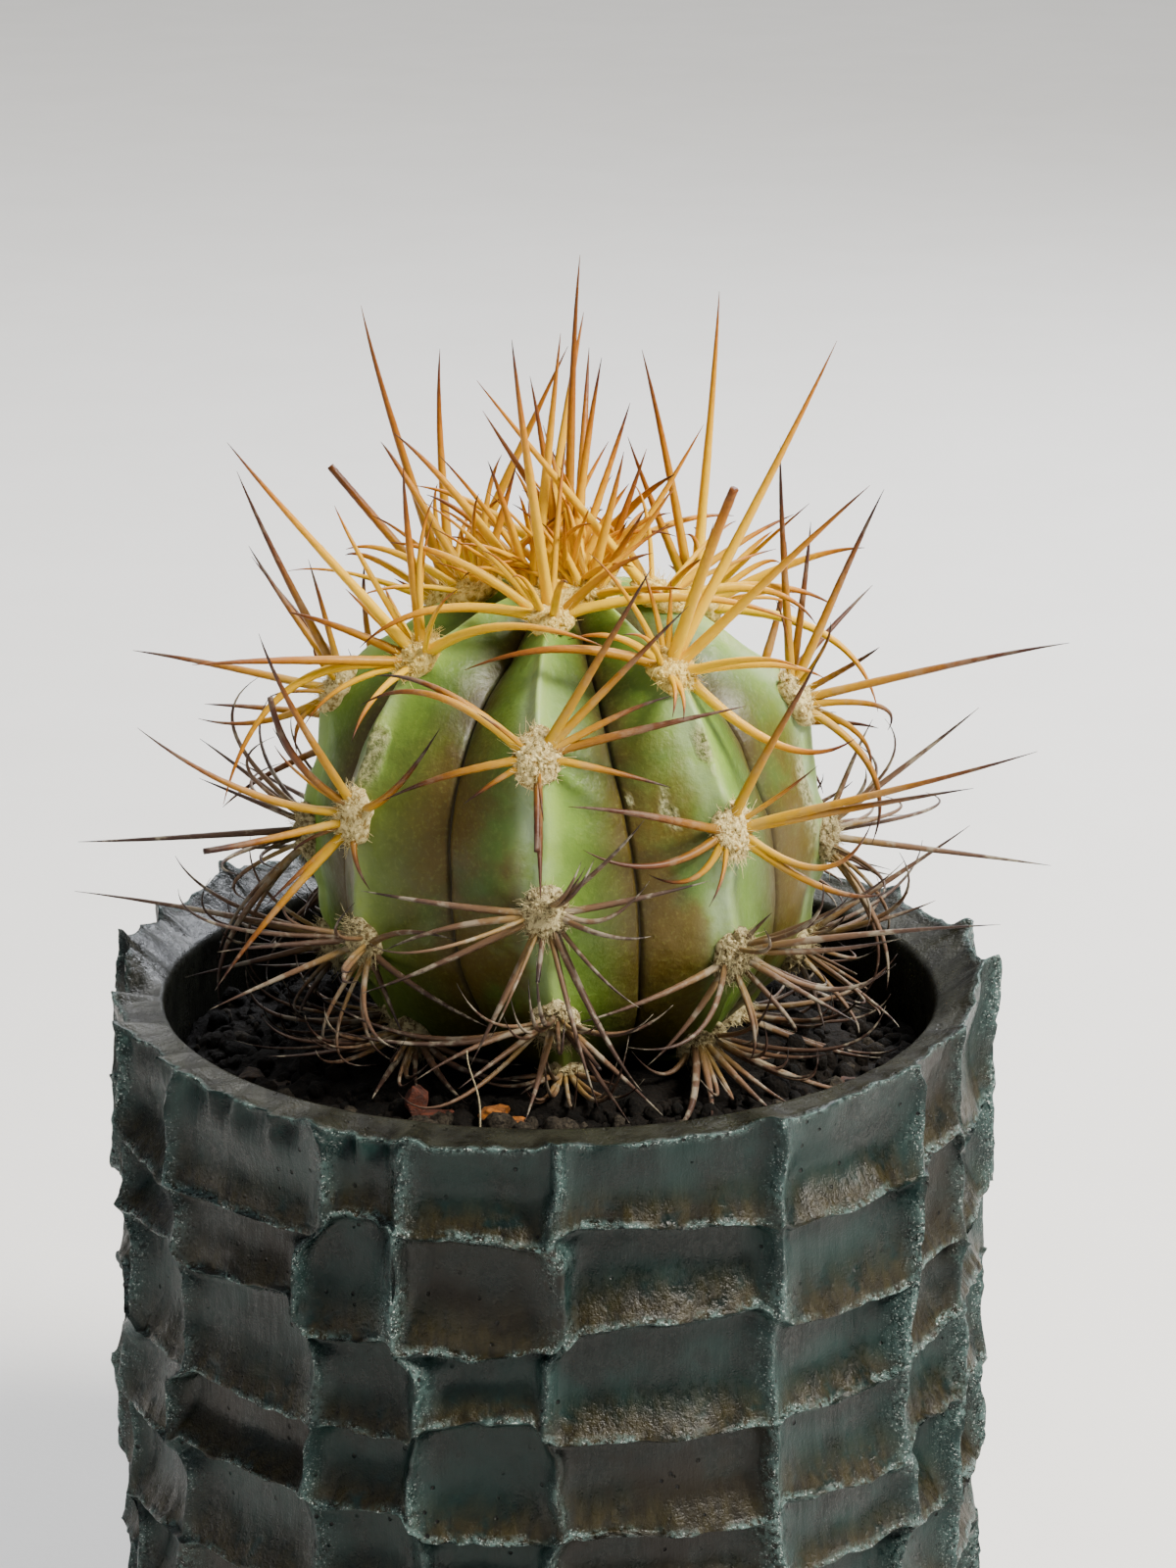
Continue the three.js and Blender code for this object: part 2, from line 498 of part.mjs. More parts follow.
function spineIsFree(areole, points, areoles) {
  for (let step = 0; step + 1 < points.length; step += 1) {
    for (const share of [0.5, 1]) {
      if (!pointIsFree(points[step].clone().lerp(points[step + 1], share))) return false;
    }
    for (const other of areoles) {
      if (other === areole) continue;
      const padReach = WOOL_LENGTH * 0.5 * other.size + SPINE_THICKNESS;
      if (segmentGap(points[step], points[step + 1], other.centre, other.centre) < padReach) return false;
      for (const spine of other.spines) {
        for (let k = 0; k + 1 < spine.points.length; k += 1) {
          const gap = segmentGap(points[step], points[step + 1], spine.points[k], spine.points[k + 1]);
          if (gap < SPINE_THICKNESS + 2 * FIT_GAP) return false;
        }
      }
    }
  }
  return true;
}

// Spines grow past each other. Each keeps its wished reach if that way is free, else it leans a few
// degrees aside, further and further, and only then stays shorter.
function growSpine(areole, wish, areoles) {
  const [x, y, z, arch = 0, rise = 0, end = 'sharp'] = wish;
  const reach = new THREE.Vector3(x, y, z).multiplyScalar(SPINE_LENGTH_FACTOR);
  const sideAxis = reach.clone().cross(areole.out);
  if (sideAxis.length() < 0.01) sideAxis.copy(areole.side);
  sideAxis.normalize();
  const otherAxis = reach.clone().cross(sideAxis).normalize();
  for (const shorter of SHORTER_SHARES) {
    for (let ring = 0; ring <= LEAN_RINGS; ring += 1) {
      const tries = ring === 0 ? 1 : LEAN_WAYS;
      for (let k = 0; k < tries; k += 1) {
        const lean = radians(LEAN_STEP * ring);
        const turned = reach.clone().multiplyScalar(shorter);
        turned.applyAxisAngle(sideAxis, lean * Math.cos((2 * Math.PI * k) / tries));
        turned.applyAxisAngle(otherAxis, lean * Math.sin((2 * Math.PI * k) / tries));
        const points = spinePoints(areole, turned, arch * shorter, rise * shorter);
        if (spineIsFree(areole, points, areoles)) {
          areole.spines.push({ points, end });
          return;
        }
      }
    }
  }
}

// A three-sided taper along the points of a spine.
function spineSkin({ points, end }) {
  const shares = [...SPINE_TAPER, end === 'blunt' ? BLUNT_TIP_SHARE : 0];
  const rings = points.map((point, step) => {
    if (shares[step] === 0) return [point];
    const from = points[Math.max(step - 1, 0)];
    const to = points[Math.min(step + 1, points.length - 1)];
    const forward = to.clone().sub(from).normalize();
    const right = forward.clone().cross(new THREE.Vector3(0.3, 0.2, 1)).normalize();
    const up = forward.clone().cross(right);
    const radius = SPINE_CORNER_SHARE * SPINE_THICKNESS * shares[step];
    return [90, 210, 330].map((angle) => point.clone()
      .addScaledVector(right, radius * Math.cos(radians(angle)))
      .addScaledVector(up, radius * Math.sin(radians(angle))));
  });
  const root = points[0].clone().addScaledVector(points[1].clone().sub(points[0]), -0.04);
  rings.unshift([root]);
  if (end === 'blunt') rings.push([points[points.length - 1]]);
  return skinOfRings(rings);
}

function woolPad(areole) {
  const pad = new THREE.SphereGeometry(1, 6, 4);
  pad.rotateX(Math.PI / 2);
  pad.scale((WOOL_WIDTH / 2) * areole.size, (WOOL_LENGTH / 2) * areole.size, WOOL_HEIGHT);
  const basis = new THREE.Matrix4().makeBasis(areole.side, areole.along, areole.out);
  pad.applyMatrix4(basis.setPosition(areole.centre));
  return pad;
}

function spineColor(areole) {
  if (areole.polar < 50) return '#d9b24a';
  return areole.polar < 85 ? '#c69a55' : '#a08a70';
}

function makeAreoles(bodyWithGap) {
  const areoles = layOutAreoles();
  for (const areole of areoles) {
    for (const wish of CHOSEN_SPINES[areole.name] ?? []) growSpine(areole, wish, areoles);
  }
  areoles.forEach((areole, number) => {
    if (areole.name in CHOSEN_SPINES) return;
    for (const wish of ringOfSpines(areole, number)) growSpine(areole, wish, areoles);
  });
  const soilWithGap = toSolid(soilSkin(FIT_GAP));
  for (const areole of areoles) {
    let cluster = toSolid(woolPad(areole));
    for (const spine of areole.spines) cluster = cluster.add(toSolid(spineSkin(spine)));
    cluster = largestBody(cluster.subtract(bodyWithGap).subtract(soilWithGap));
    addPiece(`areole_${areole.name}`, toGeometry(cluster), spineColor(areole), 0.6);
  }
}

// ---- Assembly ------------------------------------------------------------------------------------------
const bodyWithGap = toSolid(bodySkin(FIT_GAP));
makePot();
makeSoil(bodyWithGap);
makeChips(bodyWithGap);
addPiece('cactus_body', toGeometry(toSolid(bodySkin(0))), '#7d9450', 0.6);
makeAreoles(bodyWithGap);

export default model;
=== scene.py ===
"""Looks for the potted round cactus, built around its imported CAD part.

Shapes are worked out in millimetres with the CAD's own driving dimensions, and turned into metres where a
mesh is made. +Z is up and the front faces -Y. Azimuths are degrees turned from the front (-Y) towards the
right (+X), and polar angles are degrees down from the top of the plant."""

import itertools
import math

import bmesh
import bpy
import numpy as np
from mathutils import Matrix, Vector
from mathutils.geometry import delaunay_2d_cdt


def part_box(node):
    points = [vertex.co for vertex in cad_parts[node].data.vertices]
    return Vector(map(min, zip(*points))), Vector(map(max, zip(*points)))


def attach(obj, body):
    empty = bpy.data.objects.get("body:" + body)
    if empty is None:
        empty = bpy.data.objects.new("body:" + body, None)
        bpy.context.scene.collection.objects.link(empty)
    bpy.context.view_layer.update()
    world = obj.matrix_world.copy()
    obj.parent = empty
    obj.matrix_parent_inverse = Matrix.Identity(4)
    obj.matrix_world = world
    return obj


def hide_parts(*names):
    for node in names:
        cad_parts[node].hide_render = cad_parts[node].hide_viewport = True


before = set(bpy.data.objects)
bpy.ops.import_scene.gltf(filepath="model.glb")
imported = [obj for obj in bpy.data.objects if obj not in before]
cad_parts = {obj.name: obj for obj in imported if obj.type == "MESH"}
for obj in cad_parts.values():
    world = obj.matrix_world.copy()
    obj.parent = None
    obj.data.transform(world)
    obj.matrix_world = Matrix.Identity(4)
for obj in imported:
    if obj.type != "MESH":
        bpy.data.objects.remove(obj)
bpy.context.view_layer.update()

MM = 0.001

# ---- The CAD's driving dimensions, in millimetres ----------------------------------------
POT_HEIGHT = 110
POT_RADIUS = 65
POT_BORE_RADIUS = 55.5
POT_FLOOR = 9
POT_FOOT_BEVEL = 1.5
CHISEL_DEPTH = 4.2
CHISEL_ROWS = 8
DRAIN_RADIUS = 5
DRAIN_CIRCLE_RADIUS = 26
DRAIN_COUNT = 3
DRAIN_TURN = 60
SOIL_BELOW_RIM = 5
SOIL_FRONT_RISE = 1
SOIL_SIDE_FALL = 6.5
SOIL_ROUGHNESS = 0.4
BODY_RADIUS = 36.4
BODY_HALF_HEIGHT = 35
BODY_BURIED = 5.2
BODY_OFFSET_X = 2.4
BODY_SQUARENESS = 2.3
CROWN_DIP = 1.2
RIB_TWIST = 0.07
WOOL_WIDTH = 6.6
WOOL_LENGTH = 8.4
WOOL_HEIGHT = 2.1
CROWN_WOOL_SHARE = 0.66
SPINE_THICKNESS = 1.25
RADIAL_LENGTH = 23
CENTRAL_LENGTH = 36
RADIAL_COUNT = 6
RADIAL_ARCH = 2.5
FIT_GAP = 0.3
POT_RIDGES = [
    (-73, 1.6), (-55, 1.6), (-30, 1.2), (-17, 0.8), (1, 1.2), (29, 1.6), (53, 2.6), (67, 3.2), (86, 6.6),
    (104, 5.2), (123, 4.2), (142, 3.6), (161, 4.2), (181, 4.6), (200, 5), (217, 6), (233, 7), (249, 5.4),
    (264, 6.6), (275, 1.4),
]
RIM_NOTCH = 1.3
RIBS = [-5, 38.5, 87, 133, 178, 227, 267, 307]
ODD_RIB_ROWS = [21, 59, 92, 119]
EVEN_RIB_ROWS = [9, 41, 78, 106, 132]
LOWEST_AREOLE_LIFT = 0.7
FURROW_DEPTHS = [(0, 0), (12, 2.4), (28, 6.4), (44, 6.6), (60, 4.8), (80, 3.2), (104, 2.4), (135, 1.9),
                 (160, 0.9), (180, 0)]
FURROW_SHARPNESS = 1.3

# The spines that stand out, by areole, as in the CAD: how far the tip lies from the middle of the areole
# (right, back, up), how far it arches away from the plant, how far its middle is lifted, and "blunt" for a
# broken one.
CHOSEN_SPINES = {
    "crown": [(2, 4, 47, 1), (5, 2, 33), (-5, 4, 30), (9, 5, 26)],
    "1a": [(-5, -7, 40, 1), (-26, -2, -5, 4), (34, 0, -1, 4), (-22, 2, 10, 3), (14, -4, 10, 2)],
    "1b": [(15, -11, 29, -1), (20, -4, 22), (18, 2, 8, 1), (28, 4, 6, 1), (18, -1, -4, 1), (-10, -2, -6, 1),
           (-21, 3, -7, 3), (-24, 4, 6, 2, 4), (-22, 5, 10, 2, 2), (0, -8, -11, 0, 0, "blunt"),
           (1, -5, -19)],
    "1c": [(-25, 4, 2, 1), (-25, -1, -11, 1), (-22, 2, -6, 2, 2), (-10, -7, -19, 1), (22, 2, 4, 1),
           (14, -1, 5, 1, -3), (13, -9, -22, 4), (-1, -5, -8, 0, 0, "blunt")],
    "1d": [(-32, 4, 2, 1, -3), (-30, -3, 0, 1, -2), (-19, -9, -5, 0, 1), (-13, -12, -5), (-4, -19, -7),
           (6, -10, -3, 0, 0, "blunt"), (16, -1, 3, 1, -2), (10, -17, -8), (15, -14, -7)],
    "1e": [(-5, -13, -1), (9, -13, 0), (-12, -7, 1)],
    "2a": [(5, -2, 21), (12, -1, 16, -1), (8, -6, 14)],
    "2b": [(22, 2, 45, 1), (8, -12, 28, 0, 0, "blunt"), (26, -10, 28, -1), (25, -6, -8, 2, -6),
           (-28, -4, 1, 4), (-14, -3, 5, 3), (21, -1, -1, 3), (0, 2, 12)],
    "2c": [(11, -12, 28, -1), (40, -12, 15, -1), (32, -9, 9, -1), (-22, -11, 7, 2), (-20, -11, 1, 2, -3),
           (-11, -5, -5, 2, -3), (19, -4, 3, 3, -6), (21, -5, -7, 2, -3)],
    "2d": [(-22, -9, -6, 1), (-12, -9, -13, 1), (36, -5, 6, -1), (22, -4, 0, 1, -4), (23, -2, 3, 0, -1),
           (17, -6, -8, 1), (5, -3, 7)],
    "2e": [(-11, -5, 1, 1, -3), (10, -21, -3, 2), (12, -17, -3, 2), (-6, -26, -3, 3), (1, -22, -3, 2),
           (12, -6, 1, 5), (18, -8, 1, 1, -1)],
    "3a": [(-25, -6, 32), (22, -4, -3, 4), (25, 2, -2, 3)],
    "3b": [(12, 0, 30), (-2, 4, 36), (38, -4, 9, 1), (13, -3, -4, 5), (11, -5, -20, 5), (11, 2, -12, 3),
           (2, 6, 24)],
    "3c": [(32, -5, -3), (9, -7, -21, 3), (22, 3, 18), (9, -3, -6), (7, 4, 16), (6, 3, 9, 2)],
    "3d": [(20, -1, 7, 1), (25, 3, 17), (7, -4, 6, 1), (12, -5, -9, 4), (9, -7, -11, 3), (4, -9, -10, 1)],
    "4a": [(-16, 3, 24), (7, 1, 19, -1), (15, 3, 22, -3)],
    "4b": [(3, 3, 45, 1), (-8, 1, 37, 1), (24, -3, 9, 3), (26, -8, -14, 6), (-10, -2, 25), (11, 3, 10, 2),
           (12, 0, 6, 3)],
    "6a": [(5, 3, 38, 1), (-16, 2, 12, 2)],
    "6b": [(-12, 1, 43, 1), (-1, 5, 36, 1), (-17, 4, 19, 0, 0, "blunt"), (19, -4, 37), (-15, 3, 6, 3),
           (-8, 5, 2)],
    "7a": [(-13, 2, 21, 3), (-18, 0, 6, 3), (6, 1, 18)],
    "7b": [(-14, 2, 31, 1), (-29, -2, 6, 1), (-13, 7, 19), (-4, -1, 19), (-20, -2, -4, 0, -2),
           (-6, -3, -9, 2)],
    "7c": [(-33, -3, -1), (-16, 2, 7), (-16, 5, 12), (-13, -6, -25, 5), (-8, 3, -3)],
    "7d": [(-38, -2, 7, -1), (-22, -3, -4), (-15, 2, 3), (-6, -6, -10, 1)],
    "8a": [(4, -1, 37), (-19, -1, 23, 3), (-6, -5, 20, 1)],
    "8b": [(-26, -4, 30, 1), (-30, -8, 8, 1), (0, -8, 26), (-27, -4, -20, 4, 5), (-13, 0, 16, 2),
           (-18, 2, 6, 2), (27, -9, 4, 5), (-10, 3, 9)],
    "8c": [(-12, -7, 28, 1), (-11, -3, 18, 2, -2, "blunt"), (-29, -4, 14, 0, -3),
           (-20, -9, -2, 0, 0, "blunt"), (-19, -9, -22, 1), (13, -8, 15, 1, -3), (3, -4, -9, 1),
           (-12, -5, -11)],
    "8d": [(16, -8, 6, 1, 2), (19, -11, -7, 1), (6, -8, -11), (-21, -6, -8), (-20, -4, 0), (-16, -1, 4),
           (6, -5, -1, 0, 0, "blunt")],
    "8e": [(-15, -6, 2, 1, -2), (-20, -9, 0, 0, -1), (-5, -20, -2, 1), (13, -22, -2, 2), (8, -22, -2, 1),
           (17, -10, 2, 0, -1), (1, -15, -3, 1)],
}
# Azimuth, distance of its middle from the bore, length and thickness of each bark chip.
CHIPS = [(-22, 11.3, 8, 5.5), (-8, 12, 8.5, 3.6), (-69, 11.5, 7, 2.6), (68, 9.3, 6, 2.6)]

BODY_CENTRE = np.array([BODY_OFFSET_X, 0, POT_HEIGHT - SOIL_BELOW_RIM - BODY_BURIED + BODY_HALF_HEIGHT])
RIM_TOP = POT_HEIGHT + max(rise for _, rise in POT_RIDGES) + 1  # spines over the rim stay above this


# ---- Numbers ----------------------------------------
def scatter(a, b):
    """The CAD's "random" number from 0 to 1 for two whole numbers."""
    wave = np.sin(a * 12.9898 + b * 78.233) * 43758.5453
    return wave - np.floor(wave)


def around(azimuth, radius, z):
    """The point at an azimuth, a distance from the axis and a height."""
    angle = np.radians(azimuth)
    return np.stack(np.broadcast_arrays(radius * np.sin(angle), -radius * np.cos(angle), z), axis=-1)


def smoothstep(value, low, high):
    """Rises smoothly from 0 to 1 as value goes from low to high."""
    share = np.clip((value - low) / (high - low), 0, 1)
    return share * share * (3 - 2 * share)


def lattice(cell, seed):
    """A scattered number from 0 to 1 for each whole-numbered cell."""
    wave = np.sin(cell @ np.array([12.9898, 78.233, 37.719]) + seed * 4.137) * 43758.5453
    return wave - np.floor(wave)


def noise(points, size, seed):
    """Smooth noise from -1 to 1 with lumps about size across. The size may differ along the three axes."""
    scaled = points / np.asarray(size, float)
    cell = np.floor(scaled)
    share = scaled - cell
    share = share * share * (3 - 2 * share)
    total = 0
    for corner in itertools.product((0, 1), repeat=3):
        weight = np.prod(np.where(corner, share, 1 - share), axis=-1)
        total = total + weight * lattice(cell + corner, seed)
    return 2 * total - 1


def cells(points, size, seed):
    """Distance to the nearest of points scattered about size apart, as a share of that size."""
    scaled = points / size
    cell = np.floor(scaled)
    nearest = np.full(points.shape[:-1], 9.0)
    for offset in itertools.product((-1, 0, 1), repeat=3):
        corner = cell + offset
        jitter = np.stack([lattice(corner, seed + axis) for axis in range(3)], axis=-1)
        nearest = np.minimum(nearest, np.linalg.norm(corner + jitter - scaled, axis=-1))
    return nearest


def unit(vectors):
    return vectors / np.linalg.norm(vectors, axis=-1, keepdims=True)


def signed(azimuth):
    """An azimuth between -180 and 180."""
    return np.mod(azimuth + 180, 360) - 180


# ---- Meshes ----------------------------------------
def ring_faces(rings, sides):
    """Quads between rings of points that go all the way round."""
    level = np.arange(rings - 1)[:, None] * sides
    here = np.arange(sides)[None, :]
    after = (here + 1) % sides
    quads = [level + here, level + after, level + after + sides, level + here + sides]
    return np.stack(quads, axis=-1).reshape(-1, 4)


def closed_faces(rings, sides):
    """The quads, with a flat face over the first ring and the last."""
    return [*ring_faces(rings, sides), np.arange(sides)[::-1], np.arange(sides) + (rings - 1) * sides]


class Shape:
    """Points, faces and painted values gathered for one mesh."""

    def __init__(self, *painted):
        self.points = []
        self.faces = []
        self.values = {name: [] for name in painted}
        self.count = 0

    def add(self, points, faces, **values):
        """What isn't given a value is painted 0."""
        points = np.asarray(points).reshape(-1, 3)
        self.points.append(points)
        self.faces.extend((np.asarray(face) + self.count).tolist() for face in faces)
        for name, gathered in self.values.items():
            value = np.asarray(values.get(name, 0.0), float).reshape(-1)
            gathered.append(np.broadcast_to(value, len(points)))
        self.count += len(points)

    def tubes(self, paths, radii, sides, flatness=1.0, **values):
        """A closed tube along each path: paths is (tubes, steps, 3) and radii (tubes, steps)."""
        forward = unit(np.gradient(paths, axis=1))
        right = unit(np.cross(forward, [0.3, 0.2, 1]))
        up = np.cross(right, forward)
        angles = 2 * np.pi * np.arange(sides) / sides
        ring = np.cos(angles)[:, None] * right[:, :, None]
        ring = ring + flatness * np.sin(angles)[:, None] * up[:, :, None]
        points = paths[:, :, None] + radii[:, :, None, None] * ring
        tubes, steps = radii.shape
        faces = closed_faces(steps, sides)
        painted = {name: np.broadcast_to(value, (tubes, steps)) for name, value in values.items()}
        for tube in range(tubes):
            here = {name: np.repeat(value[tube], sides) for name, value in painted.items()}
            self.add(points[tube], faces, **here)

    def lumps(self, centres, sizes, ball, roughness, seed, **values):
        """A rough ball at each centre."""
        points, faces = ball
        for number, (centre, size) in enumerate(zip(centres, sizes)):
            swell = 1 + roughness * noise(points * 1.3 + 17.3 * number, 1, seed)
            swell = swell + 0.5 * roughness * noise(points * 3.1 + 9.1 * number, 1, seed + 1)
            here = {name: value[number] if np.ndim(value) else value for name, value in values.items()}
            self.add(centre + points * swell[:, None] * size, faces, **here)

    def piece(self, name, nodes, material):
        """Makes the mesh, in metres, and enters it in the frame in place of its CAD nodes."""
        mesh = bpy.data.meshes.new(name)
        mesh.from_pydata((np.concatenate(self.points) * MM).tolist(), [], self.faces)
        for key, gathered in self.values.items():
            attribute = mesh.attributes.new(key, "FLOAT", "POINT")
            attribute.data.foreach_set("value", np.concatenate(gathered).astype(np.float32))
        editing = bmesh.new()
        editing.from_mesh(mesh)
        bmesh.ops.recalc_face_normals(editing, faces=editing.faces)
        editing.to_mesh(mesh)
        editing.free()
        mesh.shade_smooth()
        mesh.materials.append(material)
        made = add_object(name, mesh)
        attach(made, "root")
        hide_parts(*nodes)


def add_object(name, data):
    made = bpy.data.objects.new(name, data)
    bpy.context.scene.collection.objects.link(made)
    return made


def unit_ball(subdivisions):
    """Points and triangles of a ball of radius 1."""
    editing = bmesh.new()
    bmesh.ops.create_icosphere(editing, subdivisions=subdivisions, radius=1)
    points = np.array([vertex.co[:] for vertex in editing.verts])
    faces = np.array([[vertex.index for vertex in face.verts] for face in editing.faces])
    editing.free()
    return points, faces


SMALL_BALL = unit_ball(2)
FINE_BALL = unit_ball(3)


# ---- Materials ----------------------------------------
def colour(code):
    """A hex code as linear colour."""
    parts = [int(code[at:at + 2], 16) / 255 for at in (1, 3, 5)]
    return [*(part / 12.92 if part <= 0.04045 else ((part + 0.055) / 1.055) ** 2.4 for part in parts), 1]


class Paint:
    """A material's nodes. Sizes are in millimetres."""

    def __init__(self, name):
        self.material = bpy.data.materials.new(name)
        self.material.use_nodes = True
        self.nodes = self.material.node_tree.nodes
        self.links = self.material.node_tree.links
        self.shader = self.nodes["Principled BSDF"]
        self.place = self.nodes.new("ShaderNodeTexCoord").outputs["Object"]

    def feed(self, socket, value):
        """Gives a socket a node's output, a value, or a colour by its hex code."""
        if isinstance(value, bpy.types.NodeSocket):
            self.links.new(value, socket)
        else:
            socket.default_value = colour(value) if isinstance(value, str) else value

    def feed_all(self, node, inputs):
        """In the names of inputs an underscore stands for a space."""
        for name, value in inputs.items():
            self.feed(node.inputs[name.replace("_", " ")], value)

    def node(self, kind, **inputs):
        made = self.nodes.new(f"ShaderNode{kind}")
        self.feed_all(made, inputs)
        return made

    def painted(self, name):
        """What the mesh has painted on it under a name."""
        node = self.node("Attribute")
        node.attribute_name = name
        return node.outputs["Fac"]

    def noise(self, size, detail=3, roughness=0.6, stretch=None):
        place = self.place
        if stretch:
            place = self.node("Mapping", Vector=place, Scale=stretch).outputs["Vector"]
        node = self.node("TexNoise", Vector=place, Scale=1 / (size * MM), Detail=detail, Roughness=roughness)
        return node.outputs["Fac"]

    def cells(self, size):
        """Distance to the nearest of scattered points, from 0 at a point."""
        return self.node("TexVoronoi", Vector=self.place, Scale=1 / (size * MM)).outputs["Distance"]

    def math(self, operation, a, b=0.0, clamp=False):
        node = self.node("Math")
        node.operation = operation
        node.use_clamp = clamp
        self.feed(node.inputs[0], a)
        self.feed(node.inputs[1], b)
        return node.outputs[0]

    def times(self, a, b, clamp=False):
        return self.math("MULTIPLY", a, b, clamp)

    def between(self, value, low, high):
        """How far value has come from low to high, from 0 to 1."""
        node = self.node("MapRange", Value=value, From_Min=low, From_Max=high)
        node.interpolation_type = "SMOOTHSTEP"
        return node.outputs["Result"]

    def mix(self, share, a, b, kind="RGBA"):
        """Mixes two colours."""
        node = self.node("Mix")
        node.data_type = kind
        self.feed_all(node, {"Factor": share, "A": a, "B": b})
        return node.outputs["Result"]

    def blend(self, share, a, b):
        """Mixes two numbers."""
        return self.mix(share, a, b, "FLOAT")

    def ramp(self, value, stops):
        """The colour at value along stops of (position, colour)."""
        node = self.node("ValToRGB", Fac=value)
        elements = node.color_ramp.elements
        while len(elements) < len(stops):
            elements.new(0.5)
        for element, (position, code) in zip(elements, stops):
            element.position = position
            element.color = colour(code)
        return node.outputs["Color"]

    def bump(self, height, depth, under=None):
        """Fine relief, on top of the relief under it."""
        node = self.node("Bump", Distance=depth * MM, Height=height)
        if under:
            self.links.new(under, node.inputs["Normal"])
        return node.outputs["Normal"]

    def finish(self, base, roughness, normal, **settings):
        self.feed_all(self.shader, {"Base_Color": base, "Roughness": roughness, "Normal": normal})
        self.feed_all(self.shader, settings)
        return self.material


def pot_paint():
    """Dark blue-grey glaze, brown on the ledges of the scoops, with painted highlights on its ridges and
    edges.
    """
    paint = Paint("chiselled_glaze")
    ledge, edge, ridge = paint.painted("ledge"), paint.painted("edge"), paint.painted("ridge")
    tone, smooth = paint.painted("tone"), paint.painted("smooth")
    cloud = paint.noise(9, 4, 0.6)
    grain = paint.noise(0.9, 4, 0.7)
    fine = paint.noise(0.3, 2, 0.6)
    drag = paint.noise(1.3, 3, 0.6, stretch=(1, 1, 0.16))
    slate = paint.mix(paint.between(cloud, 0.35, 0.65), "#061211", "#0e2321")
    slate = paint.mix(paint.times(tone, paint.between(cloud, 0.3, 0.6)), slate, "#120e07")
    brown = paint.mix(paint.between(drag, 0.3, 0.7), "#120f05", "#29240f")
    ledge_share = paint.times(ledge, paint.between(paint.noise(4, 3), 0.28, 0.5), clamp=True)
    base = paint.mix(ledge_share, slate, brown)
    # Painted highlight: the ridges are painted a paler teal, as if light caught them.
    ridge_share = paint.times(ridge, paint.between(paint.noise(11, 3), 0.36, 0.58), clamp=True)
    ridge_share = paint.times(ridge_share, paint.between(grain, 0.2, 0.55), clamp=True)
    base = paint.mix(paint.times(ridge_share, 0.75), base, "#263b3b")
    # Painted highlight: pale paint in patches along the lips and ridges, where light would catch the edges.
    paleness = paint.times(edge, paint.between(paint.noise(7, 3), 0.38, 0.55), clamp=True)
    base = paint.mix(paint.times(paleness, paint.between(grain, 0.4, 0.6)), base, "#566d6a")
    # Painted highlight: near-white glints along the lips and ridges.
    near = paint.math("ADD", paleness, paint.times(ridge_share, 0.6), clamp=True)
    glint = paint.times(near, paint.between(fine, 0.6, 0.68), clamp=True)
    base = paint.mix(paint.times(glint, 0.85), base, "#d2dcd8")
    # Painted shade: the small pits are painted near black.
    pit = paint.times(paint.between(paint.cells(2.6), 0.14, 0.07), paint.between(cloud, 0.45, 0.6))
    base = paint.mix(pit, base, "#050606")
    band = paint.mix(paint.between(paint.noise(5, 4), 0.3, 0.7), "#12120d", "#292a22")
    base = paint.mix(smooth, base, band)
    rough = paint.blend(paint.between(cloud, 0.3, 0.7), 0.2, 0.36)
    rough = paint.blend(paint.between(grain, 0.4, 0.7), rough, 0.48)
    rough = paint.blend(glint, rough, 0.12)
    relief = paint.math("ADD", near, paint.times(ledge_share, 0.35), clamp=True)
    normal = paint.bump(drag, 0.2)
    normal = paint.bump(paint.times(grain, relief), 0.6, normal)
    normal = paint.bump(fine, 0.08, normal)
    normal = paint.bump(paint.times(pit, -1), 0.3, normal)
    return paint.finish(base, rough, normal, IOR=1.5, Specular_IOR_Level=0.23)


